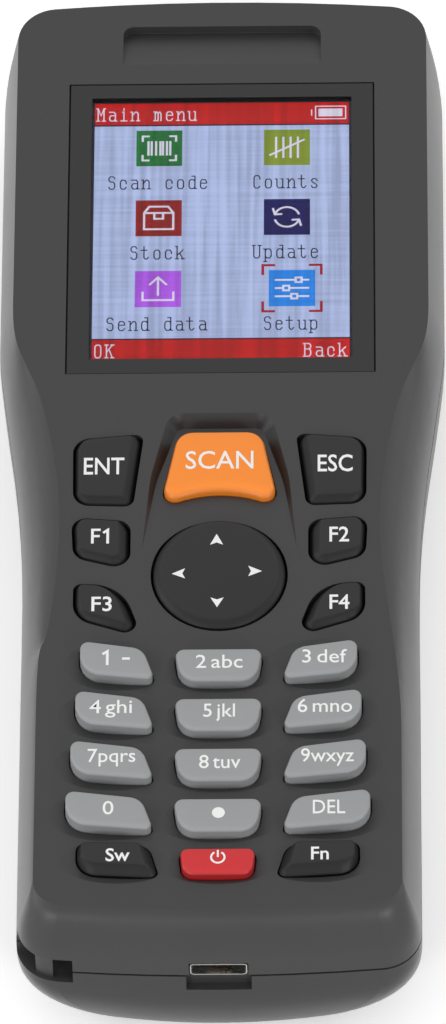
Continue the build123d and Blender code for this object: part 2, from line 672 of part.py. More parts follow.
# Lip that stands up inside the front housing and closes the parting line to light.
with BuildPart() as lip:
    with BuildSketch(Plane.XY.offset(PARTING_Z - 2 * LIP_RISE)):
        add(belt_face(SIDE_WALL - LIP_THICKNESS / 2, 0))
        add(belt_face(SIDE_WALL + LIP_CLEARANCE + LIP_THICKNESS, 0), mode=Mode.SUBTRACT)
    extrude(amount=2 * LIP_RISE - 2 * SHADOW_GAP)
    with BuildSketch(Plane.XY.offset(PARTING_Z - 2 * LIP_RISE)):
        add(belt_face(SIDE_WALL + LIP_CLEARANCE, 0))
        add(belt_face(SIDE_WALL + LIP_CLEARANCE + LIP_THICKNESS, 0), mode=Mode.SUBTRACT)
    extrude(amount=3 * LIP_RISE)
    with BuildSketch(Plane.XY):
        add(lanyard_block_face(LIP_CLEARANCE))
        with Locations(*SCREW_PLACES):
            Circle(BOSS_RADIUS + LIP_CLEARANCE)
        with Locations((0, WINDOW_Y)):
            Rectangle(WINDOW_WIDTH + 4 * WINDOW_LIP, WINDOW_CLEAR, align=(Align.CENTER, Align.MAX))
    extrude(amount=FACE_Z, mode=Mode.SUBTRACT)

with BuildPart() as rear_housing:
    add(body_shape.part)
    split(bisect_by=Plane.XY.offset(PARTING_Z - SHADOW_GAP), keep=Keep.BOTTOM)
    add(cavity_shape.part, mode=Mode.SUBTRACT)
    add(lip.part)
    add(window_land.part)
    with BuildSketch(Plane.XZ.offset(-WINDOW_Y)):
        with Locations((0, WINDOW_Z)):
            Rectangle(
                WINDOW_WIDTH + 2 * (WINDOW_LIP + WINDOW_GAP),
                WINDOW_HEIGHT + 2 * (WINDOW_LIP + WINDOW_GAP),
            )
    extrude(amount=2 * WINDOW_THICKNESS, mode=Mode.SUBTRACT)
    add(rear_bosses.part)
    with BuildSketch(Plane.XY.offset(BACK_WALL - BOSS_ROOT)):
        with Locations(*BRACKET_SCREW_PLACES):
            Circle(STANDOFF_RADIUS)
    extrude(amount=BRACKET_Z - BACK_WALL + BOSS_ROOT)
    with BuildSketch(Plane.XY.offset(BACK_WALL - BOSS_ROOT)):
        with Locations((-RIB_X, BATTERY_Y), (RIB_X, BATTERY_Y)):
            Rectangle(BATTERY_RIB, BATTERY_RIB_LENGTH)
    extrude(amount=RIB_TOP_Z - BACK_WALL + BOSS_ROOT)
    with Locations((0, SCOOP_Y, SCOOP_DEPTH - SCOOP_RADIUS)):
        Cylinder(SCOOP_RADIUS, LENGTH, rotation=(0, 90, 0), mode=Mode.SUBTRACT)
    with BuildSketch(Plane.XY):
        with Locations(*SCREW_PLACES):
            Circle(SCREW_HEAD_RADIUS + SCREW_RECESS_GAP)
    extrude(amount=SCREW_SEAT, mode=Mode.SUBTRACT)
    with BuildSketch(Plane.XY):
        with Locations(*SCREW_PLACES):
            Circle(SCREW_RADIUS + SCREW_GAP)
    extrude(amount=PARTING_Z, mode=Mode.SUBTRACT)
    with BuildSketch(Plane.XY.offset(BRACKET_Z)):
        with Locations(*BRACKET_SCREW_PLACES):
            Circle(BOARD_SCREW_RADIUS + SCREW_GAP)
    extrude(amount=BACK_WALL - BOSS_ROOT - BRACKET_Z, mode=Mode.SUBTRACT)
    with BuildSketch(Plane.XZ.offset(-WINDOW_Y)):
        with Locations((0, WINDOW_Z)):
            RectangleRounded(WINDOW_WIDTH, WINDOW_HEIGHT, WINDOW_CORNER)
    extrude(amount=-2 * WINDOW_SETBACK, taper=-WINDOW_FLARE, mode=Mode.SUBTRACT)
    with BuildSketch(Plane.XY):
        with Locations((0, LABEL_Y)):
            RectangleRounded(LABEL_WIDTH, LABEL_LENGTH, POCKET_CORNER)
    extrude(amount=LABEL_DEPTH, mode=Mode.SUBTRACT)
    with BuildSketch(Plane.XY):
        with Locations((BUZZER_X, BUZZER_Y)):
            Circle(GRILLE_HOLE)
            with PolarLocations(GRILLE_PITCH, 6):
                Circle(GRILLE_HOLE)
    extrude(amount=2 * BACK_WALL, mode=Mode.SUBTRACT)
    add(usb_clearance.part, mode=Mode.SUBTRACT)
    with BuildSketch(Plane.XY.offset(PARTING_Z - NOTCH_DEPTH)):
        with Locations((0, USB_Y + 2 * USB_SHEET)):
            Rectangle(NOTCH_WIDTH, 2 * USB_LENGTH, align=(Align.CENTER, Align.MAX))
    extrude(amount=2 * NOTCH_DEPTH, mode=Mode.SUBTRACT)
    add(lanyard_passage.part, mode=Mode.SUBTRACT)

# ---------------------------------------------------------------- front housing

with BuildPart() as front_housing:
    add(body_shape.part)
    split(bisect_by=Plane.XY.offset(PARTING_Z), keep=Keep.TOP)
    add(cavity_shape.part, mode=Mode.SUBTRACT)
    with BuildSketch(Plane.XY.offset(PARTING_Z)):
        with Locations(*SCREW_PLACES):
            Circle(BOSS_RADIUS)
    extrude(amount=PLATE_Z - PARTING_Z + BOSS_ROOT)
    with BuildSketch(Plane.XY.offset(PARTING_Z)):
        with Locations(*SCREW_PLACES):
            Circle(SCREW_RADIUS + SCREW_GAP)
    extrude(amount=SCREW_ENGAGEMENT + BOSS_ROOT, mode=Mode.SUBTRACT)
    for name in DISHED_KEYS:
        corners = KEYS[name][0]
        reach_x = (max(x for x, _, _ in corners) - min(x for x, _, _ in corners)) / 2 + DISH_MARGIN_X
        reach_y = (max(y for _, y, _ in corners) - min(y for _, y, _ in corners)) / 2 + DISH_MARGIN_Y
        sweep_x = (reach_x**2 + DISH_DEPTH**2) / (2 * DISH_DEPTH)
        sweep_y = (reach_y**2 + DISH_DEPTH**2) / (2 * DISH_DEPTH)
        with Locations((*key_centre(corners), FACE_Z - DISH_DEPTH + sweep_x)):
            Torus(sweep_x - sweep_y, sweep_y, rotation=(90, 0, 0), mode=Mode.SUBTRACT)
    with BuildSketch(Plane.XY.offset(PLATE_Z)):
        with Locations((0, DPAD_Y)):
            Circle(DPAD_RADIUS + DPAD_FLANGE_REACH + DPAD_GAP)
    extrude(amount=DPAD_RELIEF, mode=Mode.SUBTRACT)
    add(scan_recess.part, mode=Mode.SUBTRACT)
    add(head_pocket.part, mode=Mode.SUBTRACT)
    with BuildSketch(Plane.XY.offset(FACE_Z)):
        with Locations((0, LENS_Y)):
            Rectangle(LENS_WIDTH + 2 * LENS_GAP, LENS_LENGTH + 2 * LENS_GAP)
    extrude(amount=-LENS_THICKNESS, mode=Mode.SUBTRACT)
    with BuildSketch(Plane.XY.offset(FACE_Z)):
        with Locations((0, LENS_Y)):
            Rectangle(LENS_WIDTH - 2 * LENS_LEDGE_X, LENS_LENGTH - 2 * LENS_LEDGE_Y)
        for corners, _ in KEYS.values():
            add(key_face(corners, 0, KEY_GAP))
        add(scan_face(0, KEY_GAP))
        with Locations((0, DPAD_Y)):
            Circle(DPAD_RADIUS + DPAD_GAP)
    extrude(amount=-FACE_WALL - BOSS_ROOT, mode=Mode.SUBTRACT)
    add(usb_clearance.part, mode=Mode.SUBTRACT)
    add(lanyard_passage.part, mode=Mode.SUBTRACT)

with BuildPart() as lanyard_bar:
    with BuildSketch(Plane.XY.offset(PARTING_Z - LANYARD_HEIGHT / 2)):
        with Locations((BELT_TAIL_X, BELT_TAIL_Y)):
            Rectangle(
                2 * (LANYARD_END_X - LANYARD_END_SLOT), 2 * (LANYARD_SIDE_Y - LANYARD_SIDE_SLOT)
            )
        add(belt_face(LANYARD_INSET, 0), mode=Mode.INTERSECT)
        add(belt_face(LANYARD_BAR, 0), mode=Mode.SUBTRACT)
    extrude(amount=LANYARD_HEIGHT)

# ---------------------------------------------------------------- display

with BuildPart() as display_lens:
    with BuildSketch(Plane.XY.offset(LENS_Z)):
        with Locations((0, LENS_Y)):
            Rectangle(LENS_WIDTH, LENS_LENGTH)
    extrude(amount=LENS_THICKNESS)
    chamfer(display_lens.faces().sort_by(Axis.Z)[-1].edges(), LENS_GAP)

with BuildPart() as display_gasket:
    with BuildSketch(Plane.XY.offset(BACKLIGHT_TOP_Z)):
        with Locations((0, LENS_Y)):
            Rectangle(BACKLIGHT_WIDTH, BACKLIGHT_LENGTH)
            Rectangle(
                PANEL_WIDTH + 2 * PANEL_GAP, PANEL_LENGTH + 2 * PANEL_GAP, mode=Mode.SUBTRACT
            )
    extrude(amount=GASKET_THICKNESS)

with BuildPart() as lcd_panel:
    with BuildSketch(Plane.XY.offset(BACKLIGHT_TOP_Z)):
        with Locations((0, LENS_Y)):
            Rectangle(PANEL_WIDTH, PANEL_LENGTH)
    extrude(amount=LENS_Z - PANEL_TO_LENS - BACKLIGHT_TOP_Z)

with BuildPart() as backlight_frame:
    with BuildSketch(Plane.XY.offset(BACKLIGHT_Z)):
        with Locations((0, LENS_Y)):
            Rectangle(BACKLIGHT_WIDTH, BACKLIGHT_LENGTH)
    extrude(amount=BACKLIGHT_THICKNESS)
    fillet(backlight_frame.edges().filter_by(Axis.Z), BACKLIGHT_FLANGE)

with BuildPart() as display_carrier:
    with BuildSketch(Plane.XY.offset(BOARD_Z)):
        with Locations((0, LENS_Y)):
            Rectangle(BACKLIGHT_WIDTH, BACKLIGHT_LENGTH)
            Rectangle(
                BACKLIGHT_WIDTH - 2 * DISPLAY_FRAME_WALL,
                BACKLIGHT_LENGTH - 2 * DISPLAY_FRAME_WALL,
                mode=Mode.SUBTRACT,
            )
        with Locations(*BOARD_SCREW_PLACES):
            Circle(BOARD_POST_RADIUS)
            Circle(BOARD_SCREW_RADIUS + SCREW_GAP, mode=Mode.SUBTRACT)
    extrude(amount=BACKLIGHT_Z - BOARD_Z)

with BuildPart() as display_flex:
    flex_y = LENS_Y - BACKLIGHT_LENGTH / 2 - FLEX_THICKNESS / 2
    with BuildSketch(Plane.XY.offset(BOARD_Z)):
        with Locations((0, flex_y)):
            Rectangle(FLEX_WIDTH, FLEX_THICKNESS)
    extrude(amount=BACKLIGHT_TOP_Z - BOARD_Z)

# ---------------------------------------------------------------- keypad

key_caps = {}
for name, (corners, rise) in KEYS.items():
    with BuildPart() as key_cap:
        with BuildSketch(Plane.XY.offset(FLANGE_Z)):
            add(key_face(corners, 0))
        extrude(amount=FACE_Z + rise - FLANGE_Z)
        fillet(key_cap.faces().sort_by(Axis.Z)[-1].edges(), KEY_EDGE)
        with BuildSketch(Plane.XY.offset(MAT_Z)):
            add(key_face(corners, 0, FLANGE_REACH))
        extrude(amount=FLANGE_THICKNESS)
    key_caps[name] = key_cap

with BuildPart() as key_scan:
    with BuildSketch(Plane.XY.offset(FLANGE_Z)):
        add(scan_face(0))
    extrude(amount=FACE_Z + SCAN_KEY_RISE - FLANGE_Z)
    fillet(key_scan.faces().sort_by(Axis.Z)[-1].edges(), KEY_EDGE)
    with BuildSketch(Plane.XY.offset(MAT_Z)):
        add(scan_face(0, FLANGE_REACH))
    extrude(amount=FLANGE_THICKNESS)

# The direction pad rocks on its pivot, so its flange and underside stay clear of
# the plate and the mat by the drop of its rim.
with BuildPart() as direction_pad:
    with BuildSketch(Plane.XY.offset(DPAD_FLOOR_Z)):
        with Locations((0, DPAD_Y)):
            Circle(DPAD_RADIUS + DPAD_FLANGE_REACH)
    extrude(amount=DPAD_FLANGE_Z - DPAD_FLOOR_Z)
    with BuildSketch(Plane.XY.offset(DPAD_FLOOR_Z)):
        with Locations((0, DPAD_Y)):
            Circle(DPAD_RADIUS)
    extrude(amount=FACE_Z + DPAD_RISE + DPAD_CROWN - DPAD_FLOOR_Z)
    with Locations((0, DPAD_Y, FACE_Z + DPAD_RISE + DPAD_CROWN - DPAD_CROWN_RADIUS)):
        Sphere(DPAD_CROWN_RADIUS, mode=Mode.INTERSECT)
    fillet(direction_pad.faces().sort_by(Axis.Z)[-1].edges(), KEY_EDGE)
    with BuildSketch(Plane.XY.offset(DPAD_FLOOR_Z)):
        with Locations((0, DPAD_Y)):
            Circle(PIVOT_RADIUS + PIVOT_GAP)
    extrude(amount=PIVOT_HEIGHT, mode=Mode.SUBTRACT)

with BuildPart() as direction_pivot:
    with BuildSketch(Plane.XY.offset(MAT_Z)):
        with Locations((0, DPAD_Y)):
            Circle(PIVOT_RADIUS)
    extrude(amount=PIVOT_HEIGHT)
    fillet(direction_pivot.faces().sort_by(Axis.Z)[-1].edges(), PIVOT_RADIUS / 3)

# One silicone sheet under every cap, with a plunger over each dome.
with BuildPart() as keypad_mat:
    with BuildSketch(Plane.XY.offset(MAT_Z - MAT_THICKNESS)) as mat_outline:
        with Locations((0, (MAT_HEAD_Y + MAT_TAIL_Y) / 2)):
            Rectangle(2 * MAT_HALF_WIDTH, MAT_HEAD_Y - MAT_TAIL_Y)
        fillet(mat_outline.vertices(), MAT_CORNER)
    extrude(amount=MAT_THICKNESS)
    with BuildSketch(Plane.XY.offset(DOME_Z + DOME_HEIGHT)):
        with Locations(*PLUNGER_PLACES):
            Circle(PLUNGER_RADIUS)
    extrude(amount=MAT_Z - MAT_THICKNESS - DOME_Z - DOME_HEIGHT)

with BuildPart() as dome_sheet:
    with BuildSketch(Plane.XY.offset(BOARD_Z)) as sheet_outline:
        with Locations((0, (MAT_HEAD_Y + MAT_TAIL_Y) / 2)):
            Rectangle(2 * MAT_HALF_WIDTH, MAT_HEAD_Y - MAT_TAIL_Y)
        fillet(sheet_outline.vertices(), MAT_CORNER)
    extrude(amount=DOME_SHEET_THICKNESS)
    with Locations(*[(x, y, DOME_Z) for x, y in PLUNGER_PLACES]):
        Cone(
            DOME_RADIUS, PLUNGER_RADIUS, DOME_HEIGHT, align=(Align.CENTER, Align.CENTER, Align.MIN)
        )

# ---------------------------------------------------------------- main board

with BuildPart() as main_board:
    with BuildSketch(Plane.XY.offset(BOARD_BACK_Z)):
        with Locations((0, MAT_TAIL_Y)):
            Rectangle(
                2 * BOARD_HALF_WIDTH, BOARD_HEAD_Y - MAT_TAIL_Y, align=(Align.CENTER, Align.MIN)
            )
        with Locations((0, BELT_TAIL_Y + SIDE_WALL + BOARD_TONGUE_GAP)):
            Rectangle(
                BOARD_TONGUE_WIDTH, MAT_TAIL_Y - BELT_TAIL_Y, align=(Align.CENTER, Align.MIN)
            )
        with Locations(*SCREW_PLACES):
            Circle(BOSS_RADIUS + BOARD_BOSS_GAP, mode=Mode.SUBTRACT)
        with Locations(*BOARD_SCREW_PLACES):
            Circle(BOARD_SCREW_RADIUS + SCREW_GAP, mode=Mode.SUBTRACT)
    extrude(amount=BOARD_THICKNESS)

# Chips on the back of the board: place from the middle of the lens, width, length, height
CHIPS = (
    (0.0, -6.5, 10.0, 10.0, 1.2),
    (13.0, -4.5, 6.0, 8.0, 1.0),
    (-13.0, -4.5, 8.0, 6.0, 0.9),
    (2.0, 7.5, 5.0, 5.0, 0.8),
    (13.0, -18.5, 4.0, 4.0, 0.8),
)
with BuildPart() as board_chips:
    for x, y, width, length, height in CHIPS:
        with BuildSketch(Plane.XY.offset(BOARD_BACK_Z)):
            with Locations((x, LENS_Y + y)):
                Rectangle(width, length)
        extrude(amount=-height)

with BuildPart() as radio_module:
    with BuildSketch(Plane.XY.offset(BOARD_BACK_Z)):
        with Locations((-RADIO_X, RADIO_Y)):
            Rectangle(RADIO_WIDTH, RADIO_LENGTH)
    extrude(amount=-RADIO_THICKNESS)
    with BuildSketch(Plane.XY.offset(BOARD_BACK_Z - RADIO_THICKNESS)):
        with Locations((-RADIO_X, RADIO_Y + RADIO_LENGTH / 8)):
            RectangleRounded(CAN_SIZE, CAN_SIZE, CAN_CORNER)
    extrude(amount=-CAN_HEIGHT)

with BuildPart() as buzzer:
    with BuildSketch(Plane.XY.offset(BOARD_BACK_Z)):
        with Locations((BUZZER_X, BUZZER_Y)):
            Circle(BUZZER_RADIUS)
    extrude(amount=-BUZZER_HEIGHT)
    with BuildSketch(Plane.XY.offset(BOARD_BACK_Z - BUZZER_HEIGHT)):
        with Locations((BUZZER_X, BUZZER_Y)):
            Circle(GRILLE_HOLE)
    extrude(amount=BUZZER_HEIGHT / 2, mode=Mode.SUBTRACT)

with BuildPart() as board_screws:
    with BuildSketch(Plane.XY.offset(BOARD_BACK_Z)):
        with Locations(*BOARD_SCREW_PLACES):
            Circle(BOARD_SCREW_HEAD)
    extrude(amount=-BOARD_SCREW_RADIUS)
    with BuildSketch(Plane.XY.offset(BOARD_BACK_Z)):
        with Locations(*BOARD_SCREW_PLACES):
            Circle(BOARD_SCREW_RADIUS)
    extrude(amount=BACKLIGHT_Z - BOARD_BACK_Z - SCREW_GAP)

# ---------------------------------------------------------------- USB socket

with BuildPart() as usb_shell:
    with BuildSketch(Plane.XZ.offset(-USB_Y)) as usb_outline:
        with Locations((0, USB_Z)):
            Rectangle(USB_WIDTH, USB_HEIGHT)
        chamfer(usb_outline.vertices(), USB_TAPER)
    extrude(amount=-USB_LENGTH)
    with BuildSketch(Plane.XZ.offset(-USB_Y)) as usb_mouth:
        with Locations((0, USB_Z)):
            Rectangle(USB_WIDTH - 2 * USB_SHEET, USB_HEIGHT - 2 * USB_SHEET)
        chamfer(usb_mouth.vertices(), USB_TAPER - USB_SHEET)
    extrude(amount=-USB_LENGTH + USB_SHEET, mode=Mode.SUBTRACT)

with BuildPart() as usb_tongue:
    with BuildSketch(Plane.XZ.offset(-USB_Y - USB_TONGUE_SETBACK)):
        with Locations((0, USB_Z + USB_TONGUE_THICKNESS / 2)):
            Rectangle(USB_TONGUE_WIDTH, USB_TONGUE_THICKNESS)
    extrude(amount=-USB_LENGTH + USB_TONGUE_SETBACK + USB_SHEET)

with BuildPart() as usb_contacts:
    with BuildSketch(Plane.XZ.offset(-USB_Y - USB_TONGUE_SETBACK)):
        with Locations((0, USB_Z - USB_CONTACT_THICKNESS / 2)):
            with GridLocations(USB_CONTACT_PITCH, 1, USB_CONTACTS, 1):
                Rectangle(USB_CONTACT_PITCH / 2, USB_CONTACT_THICKNESS)
    extrude(amount=-USB_LENGTH + USB_TONGUE_SETBACK + USB_SHEET)

# ---------------------------------------------------------------- scanning end

with BuildPart() as scan_window:
    with BuildSketch(Plane.XZ.offset(-WINDOW_Y)):
        with Locations((0, WINDOW_Z)):
            RectangleRounded(
                WINDOW_WIDTH + 2 * WINDOW_LIP, WINDOW_HEIGHT + 2 * WINDOW_LIP, WINDOW_CORNER
            )
    extrude(amount=WINDOW_THICKNESS)

with BuildPart() as scan_engine:
    with BuildSketch(Plane.XY.offset(ENGINE_BOTTOM_Z)):
        with Locations((0, ENGINE_Y)):
            Rectangle(ENGINE_WIDTH, ENGINE_LENGTH)
    extrude(amount=ENGINE_HEIGHT)
    chamfer(scan_engine.edges().filter_by(Axis.Z), BRACKET_THICKNESS)

with BuildPart() as engine_lens:
    with BuildSketch(Plane.XZ.offset(-ENGINE_FRONT_Y)):
        with Locations((0, WINDOW_Z)):
            Circle(ENGINE_LENS_RADIUS)
    extrude(amount=-ENGINE_LENS_REACH)
    fillet(engine_lens.faces().sort_by(Axis.Y)[-1].edges(), ENGINE_LENS_RADIUS / 4)

with BuildPart() as engine_aimers:
    with BuildSketch(Plane.XZ.offset(-ENGINE_FRONT_Y)):
        with Locations((0, WINDOW_Z)):
            with GridLocations(AIMER_SPACING, 1, 2, 1):
                Circle(AIMER_RADIUS)
    extrude(amount=-AIMER_REACH)

with BuildPart() as engine_bracket:
    with BuildSketch(Plane.XY.offset(BRACKET_Z)):
        with Locations((0, ENGINE_Y)):
            Rectangle(ENGINE_WIDTH, ENGINE_LENGTH)
            Rectangle(2 * (BRACKET_SCREW_X + BRACKET_EAR / 2), BRACKET_EAR)
        with Locations(*BRACKET_SCREW_PLACES):
            Circle(BOARD_SCREW_RADIUS + SCREW_GAP, mode=Mode.SUBTRACT)
    extrude(amount=BRACKET_THICKNESS)

with BuildPart() as bracket_screws:
    with BuildSketch(Plane.XY.offset(ENGINE_BOTTOM_Z)):
        with Locations(*BRACKET_SCREW_PLACES):
            Circle(BOARD_SCREW_HEAD)
    extrude(amount=BOARD_SCREW_RADIUS)
    with BuildSketch(Plane.XY.offset(ENGINE_BOTTOM_Z)):
        with Locations(*BRACKET_SCREW_PLACES):
            Circle(BOARD_SCREW_RADIUS)
    extrude(amount=BACK_WALL - ENGINE_BOTTOM_Z)

with BuildPart() as engine_flex:
    with BuildSketch(Plane.XZ.offset(-ENGINE_FRONT_Y + ENGINE_LENGTH)):
        with Locations((0, WINDOW_Z)):
            Rectangle(FLEX_WIDTH, BOARD_BACK_Z - WINDOW_Z, align=(Align.CENTER, Align.MIN))
    extrude(amount=FLEX_THICKNESS)

# ---------------------------------------------------------------- battery

with BuildPart() as battery_pad:
    with BuildSketch(Plane.XY.offset(PAD_Z)):
        with Locations((0, BATTERY_Y)):
            Rectangle(BATTERY_WIDTH - 4 * BATTERY_EDGE, BATTERY_LENGTH - 4 * BATTERY_EDGE)
    extrude(amount=BATTERY_PAD)

with BuildPart() as battery_cell:
    with BuildSketch(Plane.XY.offset(BATTERY_Z)):
        with Locations((0, BATTERY_Y)):
            Rectangle(BATTERY_WIDTH, BATTERY_LENGTH)
    extrude(amount=BATTERY_THICKNESS)
    fillet(battery_cell.edges().filter_by(Axis.Y), BATTERY_EDGE)

with BuildPart() as battery_connector:
    with BuildSketch(Plane.XY.offset(BOARD_BACK_Z)):
        with Locations(CONNECTOR_PLACE):
            Rectangle(CONNECTOR_WIDTH, CONNECTOR_LENGTH)
    extrude(amount=-CONNECTOR_HEIGHT)

with BuildPart() as battery_leads:
    with BuildSketch(Plane.XY.offset(BATTERY_Z + BATTERY_THICKNESS)):
        with Locations(CONNECTOR_PLACE):
            with GridLocations(CONNECTOR_WIDTH / 2, 1, 2, 1):
                Circle(LEAD_RADIUS)
    extrude(amount=BOARD_BACK_Z - CONNECTOR_HEIGHT - BATTERY_Z - BATTERY_THICKNESS)

# ---------------------------------------------------------------- housing screws

with BuildPart() as housing_screws:
    with BuildSketch(Plane.XY.offset(SCREW_SEAT)):
        with Locations(*SCREW_PLACES):
            Circle(SCREW_HEAD_RADIUS)
    extrude(amount=-SCREW_HEAD_HEIGHT)
    with BuildSketch(Plane.XY.offset(SCREW_SEAT)):
        with Locations(*SCREW_PLACES):
            Circle(SCREW_RADIUS)
    extrude(amount=SCREW_LENGTH)
    with BuildSketch(Plane.XY.offset(SCREW_SEAT - SCREW_HEAD_HEIGHT)):
        with Locations(*SCREW_PLACES):
            RegularPolygon(SCREW_RADIUS, 6)
    extrude(amount=SCREW_HEAD_HEIGHT / 2, mode=Mode.SUBTRACT)

# ---------------------------------------------------------------- written pieces

pieces = {
    "front_housing": front_housing,
    "rear_housing": rear_housing,
    "lanyard_bar": lanyard_bar,
    "display_lens": display_lens,
    "display_gasket": display_gasket,
    "lcd_panel": lcd_panel,
    "backlight_frame": backlight_frame,
    "display_carrier": display_carrier,
    "display_flex": display_flex,
    "key_scan": key_scan,
    **key_caps,
    "direction_pad": direction_pad,
    "direction_pivot": direction_pivot,
    "keypad_mat": keypad_mat,
    "dome_sheet": dome_sheet,
    "main_board": main_board,
    "board_chips": board_chips,
    "radio_module": radio_module,
    "buzzer": buzzer,
    "board_screws": board_screws,
    "usb_shell": usb_shell,
    "usb_tongue": usb_tongue,
    "usb_contacts": usb_contacts,
    "scan_window": scan_window,
    "scan_engine": scan_engine,
    "engine_lens": engine_lens,
    "engine_aimers": engine_aimers,
    "engine_bracket": engine_bracket,
    "bracket_screws": bracket_screws,
    "engine_flex": engine_flex,
    "battery_pad": battery_pad,
    "battery_cell": battery_cell,
    "battery_connector": battery_connector,
    "battery_leads": battery_leads,
    "housing_screws": housing_screws,
}

os.makedirs("parts", exist_ok=True)
for label, piece in pieces.items():
    piece.part.label = label
    export_step(piece.part, f"parts/{label}.step")
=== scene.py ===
"""Looks of the portable barcode data terminal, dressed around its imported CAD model."""

import json
import logging
import math
from dataclasses import dataclass, field
from enum import Enum
from typing import Callable, Sequence

import bmesh
import bpy
import numpy as np
from mathutils import Matrix, Vector


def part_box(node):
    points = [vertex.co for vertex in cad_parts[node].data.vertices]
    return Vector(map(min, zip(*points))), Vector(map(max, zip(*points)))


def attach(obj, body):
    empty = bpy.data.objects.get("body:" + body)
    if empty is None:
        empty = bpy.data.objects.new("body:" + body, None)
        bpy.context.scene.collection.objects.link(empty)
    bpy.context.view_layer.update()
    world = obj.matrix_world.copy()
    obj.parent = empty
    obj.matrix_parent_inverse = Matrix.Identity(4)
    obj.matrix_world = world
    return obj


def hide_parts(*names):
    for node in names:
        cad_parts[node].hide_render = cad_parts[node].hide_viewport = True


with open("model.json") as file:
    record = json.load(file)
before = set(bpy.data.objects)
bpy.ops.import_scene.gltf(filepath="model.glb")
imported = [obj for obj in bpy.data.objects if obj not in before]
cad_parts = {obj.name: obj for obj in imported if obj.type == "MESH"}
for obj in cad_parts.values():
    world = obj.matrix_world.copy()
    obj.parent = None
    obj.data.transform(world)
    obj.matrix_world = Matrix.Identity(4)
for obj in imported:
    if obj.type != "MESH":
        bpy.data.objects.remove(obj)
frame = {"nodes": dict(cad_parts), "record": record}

log = logging.getLogger("terminal")

MM = 0.001
HOUSING = "housing"

Colour = tuple[float, float, float]
Point2 = tuple[float, float]


# ------------------------------------------------------------------ shader graph


@dataclass(frozen=True)
class Value:
    """A number that varies over a surface, written with ordinary operators."""

    graph: "Graph"
    socket: bpy.types.NodeSocket

    def _math(self, operation: str, first: "Value | float", second: "Value | float") -> "Value":
        """Adds a Math node.

        Args:
            operation: Blender's name of the operation.
            first: left operand.
            second: right operand.

        Returns:
            The node's result.
        """
        node = self.graph.node("ShaderNodeMath", {"operation": operation}, {0: first, 1: second})
        return Value(self.graph, node.outputs[0])

    def __add__(self, other: "Value | float") -> "Value":
        """Sum."""
        return self._math("ADD", self, other)

    __radd__ = __add__

    def __sub__(self, other: "Value | float") -> "Value":
        """Difference."""
        return self._math("SUBTRACT", self, other)

    def __rsub__(self, other: float) -> "Value":
        """Difference with a plain number on the left."""
        return self._math("SUBTRACT", other, self)

    def __mul__(self, other: "Value | float") -> "Value":
        """Product."""
        return self._math("MULTIPLY", self, other)

    __rmul__ = __mul__

    def __pow__(self, other: float) -> "Value":
        """Power."""
        return self._math("POWER", self, other)

    def __gt__(self, other: "Value | float") -> "Value":
        """1 where it is greater, else 0."""
        return self._math("GREATER_THAN", self, other)

    def __lt__(self, other: "Value | float") -> "Value":
        """1 where it is less, else 0."""
        return self._math("LESS_THAN", self, other)

    def __abs__(self) -> "Value":
        """Distance from zero."""
        return self._math("ABSOLUTE", self, 0.0)

    def lifted_over(self, low: float, high: float) -> "Value":
        """Smooth step from 0 at low to 1 at high.

        Args:
            low: where it begins.
            high: where it ends.

        Returns:
            The step's height.
        """
        node = self.graph.node(
            "ShaderNodeMapRange",
            {"interpolation_type": "SMOOTHSTEP"},
            {"Value": self, "From Min": low, "From Max": high},
        )
        return Value(self.graph, node.outputs["Result"])


